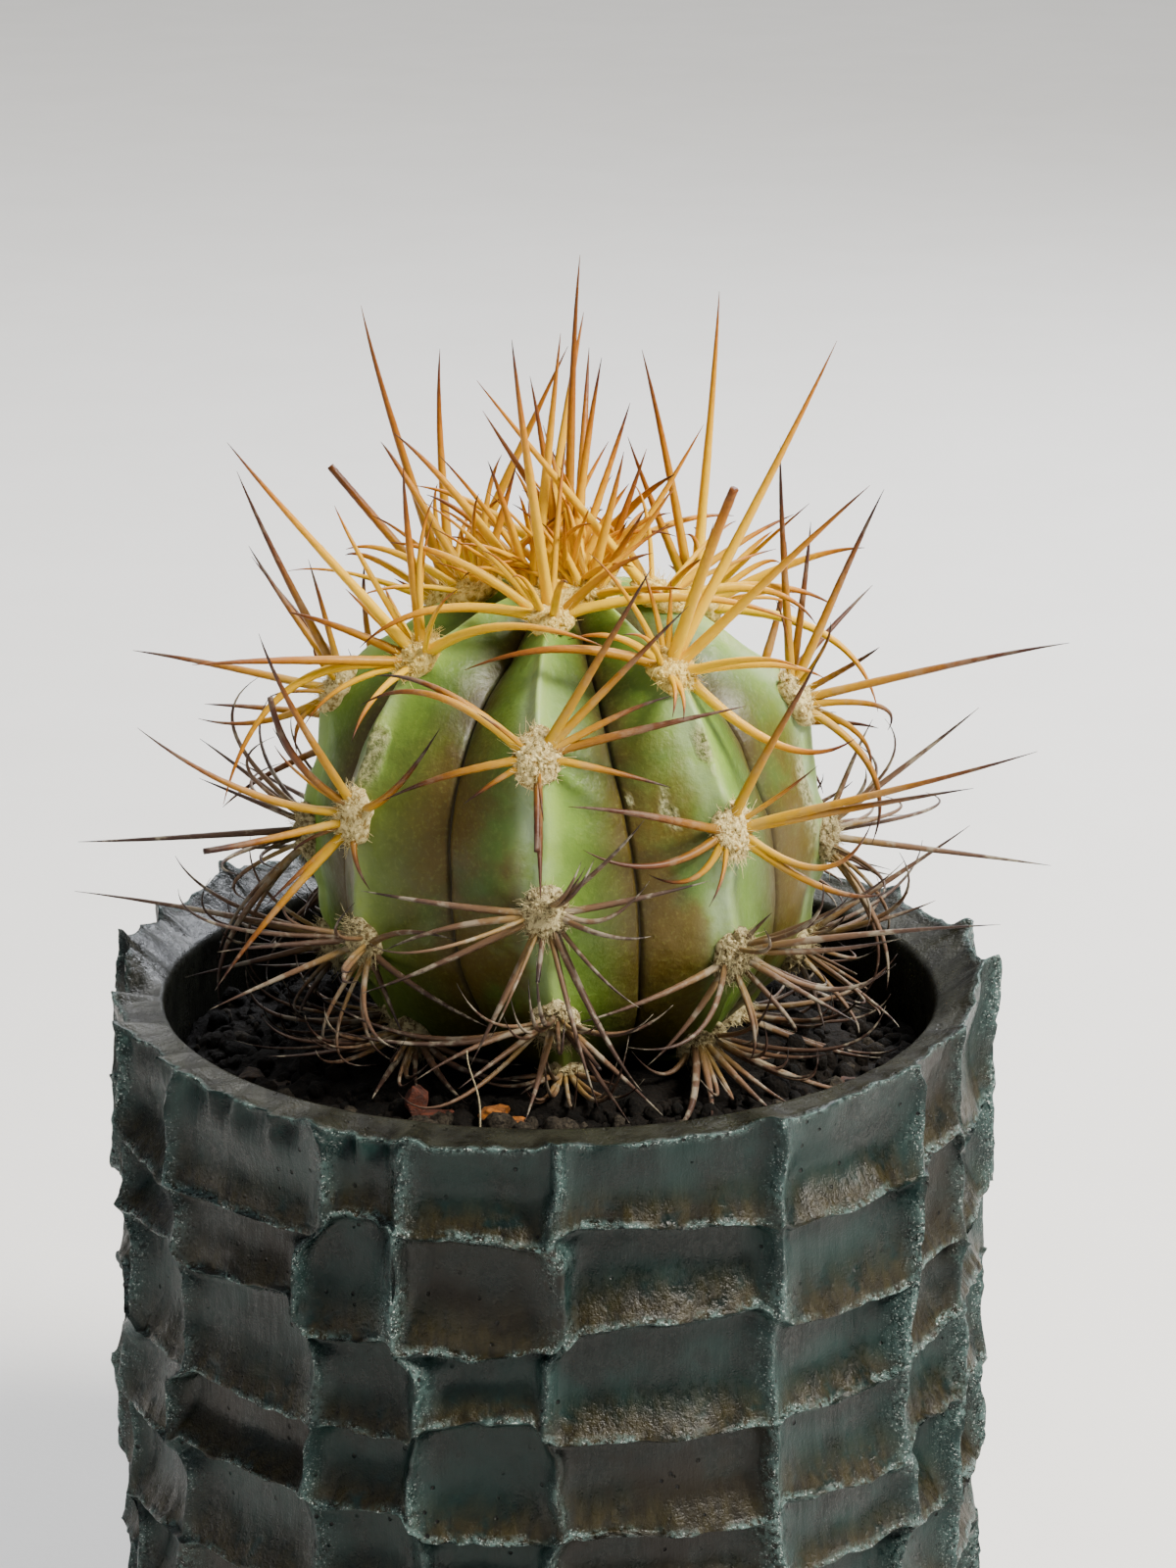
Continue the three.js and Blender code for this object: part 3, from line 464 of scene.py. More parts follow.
def skin_paint():
    """Waxy green skin, pale bloom along the crests, corky scars, and painted shade in the furrows and on the
    left flanks.
    """
    paint = Paint("cactus_skin")
    furrow, bloom, shade = paint.painted("furrow"), paint.painted("bloom"), paint.painted("shade")
    groove, scar, low = paint.painted("groove"), paint.painted("scar"), paint.painted("low")
    cloud = paint.noise(14, 4, 0.55)
    blotch = paint.noise(3.4, 4, 0.6)
    speck = paint.noise(0.6, 3, 0.6)
    # Painted shade: the colour darkens from the crests down into the furrows.
    wavering = paint.math("ADD", furrow, paint.times(paint.math("SUBTRACT", blotch, 0.5), 0.3))
    flesh = paint.ramp(wavering, [(0.0, "#86a244"), (0.22, "#66862e"), (0.5, "#486019"), (0.85, "#3d390e"),
                                  (1.0, "#2c2308")])
    # Painted shade: olive-brown patches on each rib's left flank, in the furrows and over the plant's left
    # side.
    ochre_painted_shade = paint.times(paint.between(cloud, 0.28, 0.5), shade, clamp=True)
    flesh = paint.mix(paint.times(ochre_painted_shade, 0.92), flesh, "#513f08")
    flesh = paint.mix(paint.times(paint.between(cloud, 0.5, 0.3), 0.35), flesh, "#4a6a28")
    flesh = paint.mix(paint.times(low, 0.7), flesh, "#2c3210")
    pale = paint.times(bloom, paint.between(blotch, 0.2, 0.6))
    flesh = paint.mix(paint.times(pale, 0.75), flesh, "#9fb192")
    flesh = paint.mix(paint.times(paint.between(speck, 0.5, 0.72), 0.12), flesh, "#8f9c48")
    # Painted shade: a thin near-black line along the bottom of each furrow.
    flesh = paint.mix(paint.times(groove, 0.8), flesh, "#1c1708")
    cork = paint.mix(paint.between(paint.noise(0.9, 4, 0.7), 0.35, 0.65), "#4f5224", "#b3b184")
    flesh = paint.mix(scar, flesh, cork)
    rough = paint.blend(paint.between(blotch, 0.3, 0.7), 0.4, 0.54)
    rough = paint.blend(scar, rough, 0.85)
    normal = paint.bump(blotch, 0.3)
    normal = paint.bump(speck, 0.05, normal)
    normal = paint.bump(paint.times(paint.noise(0.5, 4, 0.7), scar), 0.6, normal)
    return paint.finish(flesh, rough, normal, Subsurface_Weight=0.08, Subsurface_Radius=(1.0, 1.2, 0.3),
                        Subsurface_Scale=0.0012, IOR=1.4)


# For each age of areole: colours of a spine from root to tip, a darker variant, light and dark wool, and how
# worn the spines are.
SPINE_COLOURS = {
    "spines_young": ([(0.0, "#e2b800"), (0.42, "#cf9a00"), (0.7, "#a66606"), (0.9, "#52260a"),
                      (1.0, "#1f0d05")], "#7a4404", "#f4dc84", "#b48c28", 0.0),
    "spines_middle": ([(0.0, "#bc9410"), (0.34, "#a4720e"), (0.6, "#6e4010"), (0.8, "#36190c"),
                       (1.0, "#160a08")], "#4e2810", "#ead99c", "#947634", 0.2),
    "spines_old": ([(0.0, "#7f6638"), (0.25, "#694f38"), (0.6, "#4d392e"), (0.85, "#2b1d18"),
                    (1.0, "#110b0a")], "#33221a", "#c8ba8c", "#5e4c2a", 0.6),
}


def areole_paint(age):
    """One material for an areole: horny spines with fine cross bands, and a woolly pad."""
    stops, darker, wool_light, wool_dark, paleness = SPINE_COLOURS[age]
    paint = Paint(age)
    share, chance, wool = paint.painted("share"), paint.painted("chance"), paint.painted("wool")
    band = paint.noise(0.8, 2, 0.5)
    mottle = paint.noise(3.0, 3, 0.6)
    shifted = paint.math("ADD", share, paint.times(paint.math("SUBTRACT", band, 0.5), 0.2))
    by_chance = paint.times(paint.math("SUBTRACT", chance, 0.5), 0.3)
    shifted = paint.math("ADD", shifted, by_chance, clamp=True)
    horn = paint.ramp(shifted, stops)
    horn = paint.mix(paint.times(paint.between(chance, 0.5, 0.95), 0.6), horn, darker)
    horn = paint.mix(paint.times(paint.between(mottle, 0.5, 0.62), 0.9 * paleness), horn, "#938b78")
    felt = paint.mix(paint.between(paint.noise(0.8, 4, 0.7), 0.36, 0.6), wool_dark, wool_light)
    felt = paint.mix(paint.between(share, 0.4, 1.0), felt, wool_light)
    base = paint.mix(wool, horn, felt)
    rough = paint.blend(wool, paint.blend(paint.between(mottle, 0.4, 0.7), 0.42 + 0.15 * paleness, 0.62), 0.95)
    normal = paint.bump(band, 0.08)
    normal = paint.bump(paint.times(paint.noise(0.3, 3, 0.7), wool), 0.35, normal)
    return paint.finish(base, rough, normal, IOR=1.45, Specular_IOR_Level=0.35)


def soil_paint():
    """Damp black peat with brown crumbs and pale porous granules."""
    paint = Paint("potting_soil")
    granule, chance, fibre = paint.painted("granule"), paint.painted("chance"), paint.painted("fibre")
    grain = paint.noise(0.7, 5, 0.7)
    peat = paint.mix(paint.between(grain, 0.42, 0.75), "#020201", "#140e08")
    peat = paint.mix(paint.times(chance, 0.35), peat, "#1b130b")
    stone = paint.mix(paint.between(paint.noise(0.5, 4, 0.7), 0.35, 0.65), "#171410", "#3f392f")
    base = paint.mix(fibre, paint.mix(granule, peat, stone), "#b3a684")
    normal = paint.bump(grain, 0.5)
    normal = paint.bump(paint.cells(0.55), 0.15, normal)
    return paint.finish(base, 0.92, normal, Specular_IOR_Level=0.2)


def bark_paint(number, light, dark):
    """Streaked along the chip's grain."""
    paint = Paint(f"bark_{number}")
    fibre = paint.noise(0.6, 4, 0.7, stretch=(0.25, 1, 1))
    grain = paint.noise(0.35, 3, 0.7)
    base = paint.mix(paint.between(fibre, 0.3, 0.7), dark, light)
    base = paint.mix(paint.times(paint.between(grain, 0.55, 0.7), 0.5), base, "#1d120b")
    normal = paint.bump(fibre, 0.4)
    normal = paint.bump(grain, 0.15, normal)
    return paint.finish(base, 0.85, normal)


# ---- Pot ----------------------------------------
SAMPLES_PER_COLUMN = 29  # round one column of scoops
LEVEL_SHARES = [0, 0.03, 0.07, 0.12, 0.18, 0.25, 0.32, 0.4, 0.49, 0.58, 0.68, 0.78, 0.86, 0.91, 0.94, 0.96,
                0.975, 0.99]  # where the levels lie in a row
ROW_UNEVENNESS = 0.36  # of a row's height
LIP_SLOPE = 5.2  # twice the largest difference in height between the ends of a lip
LIP_RAGGEDNESS = 0.8
LIP_INSET_SHARE = 0.35  # of the chisel's depth
LIP_UNEVENNESS = 1.2
LEDGE_BREAK = 1.5  # how deep the ledges are broken off in places
RIDGE_SWAY = 4.2  # degrees from the one side to the other
RIDGE_HALF_WIDTH = 1.7
TOOTH_SPACING = 6.2  # degrees between the teeth along the rim's outer edge
TOOTH_DEPTH = 2.4
TOOTH_DROP = 0.9
TOOTHED = (285, 296, 338, 348)  # azimuths where the deep teeth at the front left set in and fade out
DRAIN_SIDES = 32
UNDERSIDE_RADII = (58, 61)
RIM_STEPS = (0.06, 0.16, 0.35, 0.6, 0.82, 0.94, 1.0)  # shares of the way from the outside to the bore


def scoop_boundaries(column, row):
    """Height of the lip under a scoop, on its own column."""
    height = POT_HEIGHT / CHISEL_ROWS
    inside = (row > 0) & (row < CHISEL_ROWS)
    return height * (row + np.where(inside, ROW_UNEVENNESS * (scatter(column, row) - 0.5), 0))


def lip_heights(column, share, row):
    """Height of the lip under a row all the way round, stepping over to its neighbours at the ridges."""
    own = scoop_boundaries(column, row)
    inner = (row > 0) & (row < CHISEL_ROWS)
    slope = LIP_SLOPE * (scatter(column + 3, row + 11) - 0.5) * (share - 0.5)
    spot = around(column * 18 + share * 18, POT_RADIUS, 31 * row)
    ragged = LIP_RAGGEDNESS * noise(spot, 4.5, 5) + 0.35 * noise(spot, 1.6, 6)
    own = own + inner * (slope + ragged)
    left = scoop_boundaries((column - 1) % len(POT_RIDGES), row)
    right = scoop_boundaries((column + 1) % len(POT_RIDGES), row)
    near_left, near_right = 1 - smoothstep(share, 0, 0.09), smoothstep(share, 0.91, 1)
    return own + 0.5 * near_left * (left - own) + 0.5 * near_right * (right - own)


def rim_teeth(azimuth):
    """How deep the rim's edge is cut between the teeth, from 0 to 1, deepest at the front left."""
    wavering = azimuth + 3.2 * noise(around(azimuth, POT_RADIUS, 0), 6, 71)
    between_teeth = np.abs(np.sin(np.pi * wavering / TOOTH_SPACING)) ** 0.7
    turn = np.mod(azimuth, 360)
    front_left = smoothstep(turn, *TOOTHED[:2]) * (1 - smoothstep(turn, *TOOTHED[2:]))
    return between_teeth * (0.22 + 0.78 * front_left)


def ridge_sways(column, after, row, part):
    """How far the ridges to the left and right of each point lean aside, easing over at the top of a row."""
    sway = [RIDGE_SWAY * (scatter(step, near + 40) - 0.5) * ((step > 0) & (step < CHISEL_ROWS))
            for step in (row, row + 1) for near in (column, after)]
    ease = smoothstep(part, 0.7, 1)
    left = sway[0] + (sway[2] - sway[0]) * ease
    right = sway[1] + (sway[3] - sway[1]) * ease
    return left, right


def rim_rises(column, after, share):
    """Height of the rim's outer edge over the pot's height: up at each ridge, notched between."""
    rises = np.array([rise for _, rise in POT_RIDGES], float)
    rise = rises[column] + (rises[after] - rises[column]) * smoothstep(share, 0.15, 0.75)
    off_ridge = smoothstep(np.minimum(share, 1 - share), 0, 0.16)
    return rise - RIM_NOTCH * off_ridge * (0.8 + 0.7 * scatter(column + 13, 3))


def scoop_faces(column, share, row, part, flare, open_top):
    """Distance of the scoops from the axis: deep in the middle, out to a ledge below and to a lip above."""
    lip = POT_RADIUS - CHISEL_DEPTH * LIP_INSET_SHARE
    edge_low = np.where(row == 0, lip, lip - LIP_UNEVENNESS * scatter(column + 7, row))
    edge_high = lip - LIP_UNEVENNESS * scatter(column + 7, row + 1)
    rim_edge = lip - 0.8 - LIP_UNEVENNESS * scatter(column + 31, 2)
    deep = POT_RADIUS - CHISEL_DEPTH * (0.95 + 0.4 * scatter(column + 21, row + 5))
    deep = deep - 0.9 * (scatter(column + 2, row + 31) - 0.5) * (2 * share - 1)
    deep = deep - 0.5 * (1 - (2 * share - 1) ** 2)
    face = deep + (edge_low - deep) * flare
    undercut = smoothstep(part, 0.9, 1.0)
    top_row = row == CHISEL_ROWS - 1
    return np.where(top_row, face + (rim_edge - face) * open_top, face + (edge_high - face) * undercut)


def ridge_shares(column, after, share, row, width, spot):
    """Up to 1 on a ridge between two columns, by its own strength, and falling to 0 beside it."""
    wander = 0.8 * noise(spot, 5, 8)
    left_ridge, right_ridge = (column, 80, share * width + wander), (after, 90, (1 - share) * width - wander)
    ridge = 0
    for near, offset, away in (left_ridge, right_ridge):
        strength = 0.55 + 0.45 * scatter(near + 60, row + 2)
        spread = RIDGE_HALF_WIDTH * (0.5 + 0.9 * scatter(near + offset, row))
        ridge = np.maximum(ridge, strength * np.exp(-((np.abs(away) / spread) ** 1.25)))
    return ridge


def pot_wall():
    """The chiselled outside as a grid (levels, samples round), with what is painted on it."""
    columns = len(POT_RIDGES)
    azimuths = np.array([azimuth for azimuth, _ in POT_RIDGES], float)
    sweeps = np.mod(np.roll(azimuths, -1) - azimuths, 360)
    even = np.arange(SAMPLES_PER_COLUMN) / SAMPLES_PER_COLUMN
    shares = 0.45 * even + 0.55 * (0.5 - 0.5 * np.cos(np.pi * even))
    column = np.repeat(np.arange(columns), SAMPLES_PER_COLUMN)[None, :]
    share = np.tile(shares, columns)[None, :]
    after = (column + 1) % columns
    levels = np.add.outer(np.arange(CHISEL_ROWS), LEVEL_SHARES).ravel()
    levels = np.append(levels, CHISEL_ROWS - 1e-6)[:, None]
    row = np.floor(levels)
    part = levels - row
    top_row = row == CHISEL_ROWS - 1

    sway_left, sway_right = ridge_sways(column, after, row, part)
    azimuth = azimuths[column] + sweeps[column] * share + sway_left * (1 - share) + sway_right * share
    low, high = lip_heights(column, share, row), lip_heights(column, share, row + 1)
    high = np.where(top_row, POT_HEIGHT + rim_rises(column, after, share), high)
    z = low + (high - low) * part
    spot = around(azimuth, POT_RADIUS, z)

    flare = np.clip(1 - part / (0.42 + 0.2 * scatter(column + 9, row + 3)), 0, 1) ** 1.5
    open_top = smoothstep(part, 0.25, 1.0)
    face = scoop_faces(column, share, row, part, flare, open_top)
    ridge = ridge_shares(column, after, share, row, np.radians(sweeps[column]) * POT_RADIUS, spot)
    crest = POT_RADIUS + 0.2 - 1.3 * (0.5 + 0.5 * noise(spot, 6, 3))
    radius = face + np.maximum(crest - face, 0) * ridge

    ledge = np.clip(flare * 1.5, 0, 1) * (1 - ridge) * (row > 0)
    broken = smoothstep(noise(around(azimuth, POT_RADIUS, low * 3.0), 7, 27), 0.1, 0.5)
    radius = radius - LEDGE_BREAK * broken * flare ** 2 * (1 - ridge) * (row > 0)
    lip = np.exp(-((part * (high - low) / 0.55) ** 2)) + np.exp(-(((1 - part) * (high - low) / 0.5) ** 2))
    edge = np.clip(np.maximum(lip, ridge ** 2), 0, 1)
    rough = 0.16 * noise(spot, 2.2, 13) + 0.3 * edge * noise(spot, 1.5, 14)
    rough = rough + 0.2 * ledge * noise(spot, (1.1, 1.1, 6), 15) + 0.3 * noise(spot, 9, 16)
    radius = radius + rough
    radius = np.where(z < POT_FOOT_BEVEL, radius - (POT_FOOT_BEVEL - z), radius)
    radius = np.minimum(radius, POT_RADIUS + 0.4)
    z = z + 0.25 * noise(spot, 2.6, 19) * top_row * part
    cut = top_row * open_top ** 3 * rim_teeth(azimuth)
    radius = radius - TOOTH_DEPTH * cut
    z = z - TOOTH_DROP * cut * part
    tone = np.broadcast_to(scatter(column + 5, row + 17) > 0.62, radius.shape).astype(float)
    painted = {"ledge": ledge, "edge": edge, "ridge": np.clip(1.2 * ridge ** 2, 0, 1), "tone": tone}
    return around(azimuth, radius, z), azimuth, painted


def holed_plate(rim):
    """Fills a level ring of points around the drainage holes. Returns the holes' points, and triangles that
    number the ring's points first and the holes' after them."""
    turns = 360 * np.arange(DRAIN_SIDES) / DRAIN_SIDES
    middles = [around(DRAIN_TURN + 360 * hole / DRAIN_COUNT, DRAIN_CIRCLE_RADIUS, rim[0, 2])
               for hole in range(DRAIN_COUNT)]
    holes = np.concatenate([middle + around(turns, DRAIN_RADIUS, 0.0) for middle in middles])
    flat = np.concatenate([rim, holes])
    loops = np.split(np.arange(len(flat)), len(rim) + DRAIN_SIDES * np.arange(DRAIN_COUNT))
    edges = [pair for loop in loops for pair in zip(loop.tolist(), np.roll(loop, -1).tolist())]
    _, _, faces, *_ = delaunay_2d_cdt([Vector(point[:2]) for point in flat], edges, [], 0, 1e-6)
    kept = []
    for face in faces:
        centre = flat[list(face)].mean(axis=0)
        if all(np.linalg.norm(centre - middle) > DRAIN_RADIUS * 0.98 for middle in middles):
            kept.append(list(face))
    return holes, kept


def make_pot():
    """Outside, rim, bore, floor and underside as one closed mesh with its drainage holes."""
    shape = Shape("ledge", "edge", "ridge", "tone", "smooth")
    wall, azimuth, painted = pot_wall()
    sides = wall.shape[1]
    outer_radius = np.hypot(wall[-1, :, 0], wall[-1, :, 1])
    outer_z = wall[-1, :, 2]
    under = [around(azimuth[0], radius, 0) for radius in UNDERSIDE_RADII]
    band = []
    for step in RIM_STEPS:
        ring = around(azimuth[-1], outer_radius + (POT_BORE_RADIUS + 0.5 - outer_radius) * step,
                      outer_z + (POT_HEIGHT + 0.2 - outer_z) * step)
        ring[:, 2] += 0.12 * noise(ring, 3.5, 23) + 0.25 * (step < 0.3) * noise(ring, 1.6, 24)
        band.append(ring)
    bore = [(0.1, POT_HEIGHT - 0.3), (0, POT_HEIGHT - 1.2), (0, POT_HEIGHT - 4), (0, POT_HEIGHT - 8),
            (0, POT_HEIGHT - 14), (0, 60), (0, POT_FLOOR)]
    inside = [around(azimuth[-1], POT_BORE_RADIUS + wider, z) for wider, z in bore]
    grid = np.concatenate([under, wall, band, inside])
    levels = len(grid)
    before, after = len(under), len(band) + len(inside)
    values = {name: np.pad(value, ((before, after), (0, 0))) for name, value in painted.items()}
    values["edge"][levels - after:levels - after + 2] = 0.6
    smooth = np.ones((levels, sides))
    smooth[before:levels - after] = 0
    smooth[levels - after] = 0.4
    shape.add(grid, ring_faces(levels, sides), smooth=smooth, **values)
    first_hole_points = shape.count
    for ring_start, ring in ((0, grid[0]), ((levels - 1) * sides, grid[-1])):
        holes, faces = holed_plate(ring)
        offset = shape.count - sides
        shape.faces.extend([ring_start + i if i < sides else offset + i for i in face] for face in faces)
        shape.add(holes, [], smooth=1.0)
    for hole in range(DRAIN_COUNT):
        below = first_hole_points + DRAIN_SIDES * hole
        above = below + DRAIN_SIDES * DRAIN_COUNT
        pairs = [(i, (i + 1) % DRAIN_SIDES) for i in range(DRAIN_SIDES)]
        shape.faces.extend([below + i, below + j, above + j, above + i] for i, j in pairs)
    shape.piece("chiselled_pot", ["pot"], pot_paint())


# ---- Body ----------------------------------------
def crest_azimuth(rib, polar):
    """The ribs twist a little on their way down."""
    return RIBS[rib] + RIB_TWIST * (polar - 80)


def furrow_share(azimuth, polar):
    """0 on a crest, 1 at the bottom of a furrow."""
    straight = azimuth - RIB_TWIST * (polar - 80)
    found = np.zeros(np.broadcast(azimuth, polar).shape)
    for rib, crest in enumerate(RIBS):
        gap = (RIBS[(rib + 1) % len(RIBS)] - crest) % 360
        past = np.mod(straight - crest, 360)
        found = np.where(past <= gap, 1 - np.abs(2 * past / gap - 1), found)
    return found


def body_radius(polar, azimuth, furrow=None):
    """From the body's centre to its skin. furrow is how much of the furrows' depth to take."""
    across = np.abs(np.sin(np.radians(polar))) / BODY_RADIUS
    along = np.abs(np.cos(np.radians(polar))) / BODY_HALF_HEIGHT
    smooth = (across ** BODY_SQUARENESS + along ** BODY_SQUARENESS) ** (-1 / BODY_SQUARENESS)
    depth = np.interp(polar, *zip(*FURROW_DEPTHS))
    if furrow is None:
        furrow = furrow_share(azimuth, polar) ** FURROW_SHARPNESS
    return smooth - depth * furrow - CROWN_DIP * np.exp(-((polar / 9) ** 2))


def off_centre(polar, azimuth, radius):
    """The point at a distance from the body's centre."""
    turned = np.radians(polar)
    return around(azimuth, radius * np.sin(turned), radius * np.cos(turned)) + BODY_CENTRE


# Scars on the skin: azimuth, polar angle, half width and half height in degrees, strength, and how far the
# skin stands in there.
SCARS = [
    (-53, 63, 3.2, 8, 0.75, -0.2), (25, 70.5, 1.3, 3.8, 0.95, 0.5), (27, 73, 1.0, 2.6, 0.9, 0.4),
    (36, 59, 1.8, 5, 0.85, 0.35), (80, 80, 3.5, 12, 0.8, -0.2), (17, 68, 0.9, 2.0, 0.9, 0.15),
]
FURROW_RELIEF = 0.35  # the furrows are this share deeper than the CAD's flat facets
RIB_WANDER = 2.4  # degrees the ribs wander to either side
RIB_WAIST = 1.1  # how far a crest stands back between two areoles
CREST_SOFTNESS = 0.035  # share of a flank that the rounding of its crest takes
FLANK_POWER = 0.56  # half of the power with which a flank falls into its furrow
CREST_FOLD = 1.4  # height of the folded edge along a crest
FOLD_SHARE = 0.085  # of a flank, for the fold
GROOVE_SHARE = 0.022  # of a flank, for the painted shade line at the bottom of a furrow


def scarred(radius, place, polar, azimuth):
    """The skin with its scars, and how strongly it is scarred at each point."""
    scar = np.zeros_like(radius)
    for at_azimuth, at_polar, half_width, half_height, strength, dent in SCARS:
        across = signed(azimuth - at_azimuth) / half_width
        along = (polar - at_polar) / half_height
        ragged = 0.35 * noise(place, 1.6, 9)
        mask = 1 - smoothstep(np.hypot(across, along) + ragged, 0.6, 1.1)
        scar = np.maximum(scar, mask * strength)
        radius = radius - mask * dent * (1 + 0.8 * noise(place, 0.9, 10))
    return radius, scar


def flank_tones(place, polar, azimuth, furrow):
    """The pale bloom just left of each crest, and the painted shade on its left flank, deeper in the furrows
    and over the plant's left side.
    """
    left_of_crest, left_flank = 0, 0
    for rib in range(len(RIBS)):
        past = signed(azimuth - crest_azimuth(rib, polar))
        left_of_crest = np.maximum(left_of_crest, np.exp(-(((past + 2.2) / 3.6) ** 2)))
        left_flank = np.maximum(left_flank, smoothstep(past, -24, -14) * (1 - smoothstep(past, -8, -1)))
    bloom = left_of_crest * smoothstep(polar, 25, 55) * (1 - smoothstep(polar, 95, 125))
    bloom = np.clip(bloom * (0.7 + 0.5 * noise(place, 8, 6)), 0, 1)
    left_side = smoothstep(azimuth, -75, -55) * (1 - smoothstep(azimuth, -14, -6))
    left_side = np.maximum(left_side, smoothstep(azimuth, 285, 305) * (1 - smoothstep(azimuth, 346, 354)))
    # shade is painted shade: darker on the left flanks, in the furrows and on the plant's left.
    shade = np.clip(left_flank + 0.5 * furrow ** 2 + 0.4 * left_side, 0, 1) * smoothstep(polar, 40, 80)
    return bloom, shade


def make_body(areoles):
    """The ribbed skin with its furrow lines, folded crests, waists between the areoles, and scars."""
    shape = Shape("furrow", "bloom", "groove", "scar", "low", "shade")
    polar = np.linspace(1.2, 178.5, 178)[:, None]
    spread = np.linspace(-1, 1, 61)[:-1]
    share = 0.5 + 0.5 * spread * np.abs(spread) ** 0.25
    gaps = [(RIBS[(rib + 1) % len(RIBS)] - crest) % 360 for rib, crest in enumerate(RIBS)]
    straight = np.concatenate([crest + gap * share for crest, gap in zip(RIBS, gaps)])[None, :]
    azimuth = straight + RIB_TWIST * (polar - 80)
    furrow = furrow_share(azimuth, polar)
    wander = around(azimuth, 30.0, polar * 0.6)
    azimuth = azimuth + RIB_WANDER * noise(wander, 11, 81) * smoothstep(polar, 15, 45)
    flat = CREST_SOFTNESS ** (2 * FLANK_POWER)
    profile = (furrow ** 2 + CREST_SOFTNESS ** 2) ** FLANK_POWER - flat
    profile = profile / ((1 + CREST_SOFTNESS ** 2) ** FLANK_POWER - flat)
    radius = body_radius(polar, azimuth, profile * (1 + FURROW_RELIEF * smoothstep(polar, 45, 75)))
    place = off_centre(polar, azimuth, radius)
    crest = CREST_FOLD * np.exp(-((furrow / FOLD_SHARE) ** 2)) * smoothstep(polar, 25, 50)
    groove = np.exp(-(((1 - furrow) / GROOVE_SHARE) ** 2)) * smoothstep(polar, 12, 40)
    near = np.zeros_like(radius)
    for areole in areoles:
        distance = np.linalg.norm(place - areole["centre"], axis=-1)
        near = np.maximum(near, np.exp(-((distance / 6.5) ** 2)))
    waist = RIB_WAIST * np.exp(-((furrow / 0.45) ** 2)) * (1 - near) * smoothstep(polar, 20, 45)
    radius = radius + 0.5 * near - waist + crest * (0.7 + 0.5 * noise(place, 5, 12)) - 0.5 * groove
    radius = radius + 0.35 * noise(place, 11, 2) + 0.12 * noise(place, 3.5, 4) + 0.03 * noise(place, 1.1, 5)
    radius, scar = scarred(radius, place, polar, azimuth)
    bloom, shade = flank_tones(place, polar, azimuth, furrow)
    low = smoothstep(polar, 95, 150) * np.ones_like(radius)
    place = off_centre(polar, azimuth, radius)
    shape.add(place, closed_faces(*place.shape[:2]), furrow=furrow, bloom=bloom, groove=groove, scar=scar,
              low=low, shade=shade)
    shape.piece("cactus_skin", ["cactus_body"], skin_paint())


# ---- Soil and bark ----------------------------------------
def soil_height(x, y):
    """The CAD's soil surface."""
    radius = np.hypot(x, y)
    outward = smoothstep(radius, BODY_RADIUS * 0.6, POT_BORE_RADIUS)
    front = np.maximum(-y / np.maximum(radius, 1e-9), 0) ** 2
    bank = SOIL_FRONT_RISE * front - SOIL_SIDE_FALL * (1 - front)
    lumps = np.sin(x * 0.52 + 1) * np.cos(y * 0.61) + np.sin(x * 0.23 - y * 0.37 + 2)
    return POT_HEIGHT - SOIL_BELOW_RIM + bank * outward + SOIL_ROUGHNESS * lumps


FIBRE_AZIMUTH = -10.5  # a pale root fibre stands up from the soil at the front
FIBRE_RADIUS = 49
FIBRE_HEIGHT = 13


def add_fibre(shape):
    root = around(FIBRE_AZIMUTH, FIBRE_RADIUS, POT_HEIGHT - SOIL_BELOW_RIM)
    steps = np.linspace(0, 1, 30)
    sway = 0.9 * np.sin(steps * 5.2) * steps - 0.9 * steps
    path = root + np.stack([sway, 0.8 * steps, FIBRE_HEIGHT * steps], axis=1)
    shape.tubes(path[None], (0.16 - 0.06 * steps)[None], 6, chance=0.5, fibre=1.0)


# Loose crumbs and pale stones: how many, smallest and largest, the ball they are made from, how pale,
# between which azimuths, and the least distance from the axis.
CRUMBS = [
    (900, 0.35, 1.0, SMALL_BALL, 0.0, (0, 360), 36.0),
    (170, 1.0, 2.1, SMALL_BALL, 0.0, (0, 360), 36.0),
    (70, 0.6, 1.5, SMALL_BALL, 0.9, (-60, 60), 44.0),
    (30, 1.2, 2.3, FINE_BALL, 0.8, (-50, 80), 45.0),
    (60, 0.6, 1.6, SMALL_BALL, 0.8, (60, 300), 44.0),
    (340, 0.35, 0.9, SMALL_BALL, 0.0, (-45, 45), 47.0),
]


def strew(shape, rng, count, smallest, largest, ball, pale, azimuths, nearest):
    turn = rng.uniform(*azimuths, count)
    size = rng.uniform(smallest, largest, count)
    distance = np.sqrt(rng.uniform(nearest ** 2, (POT_BORE_RADIUS - 1.5) ** 2, count)) - size * 0.5
    spot = around(turn, distance, 0)
    spot[:, 2] = soil_height(spot[:, 0], spot[:, 1]) + size * rng.uniform(0.0, 0.5, count)
    squash = size[:, None] * rng.uniform(0.65, 1.15, (count, 3))
    shape.lumps(spot, squash, ball, 0.35, 51, granule=pale, chance=rng.random(count))


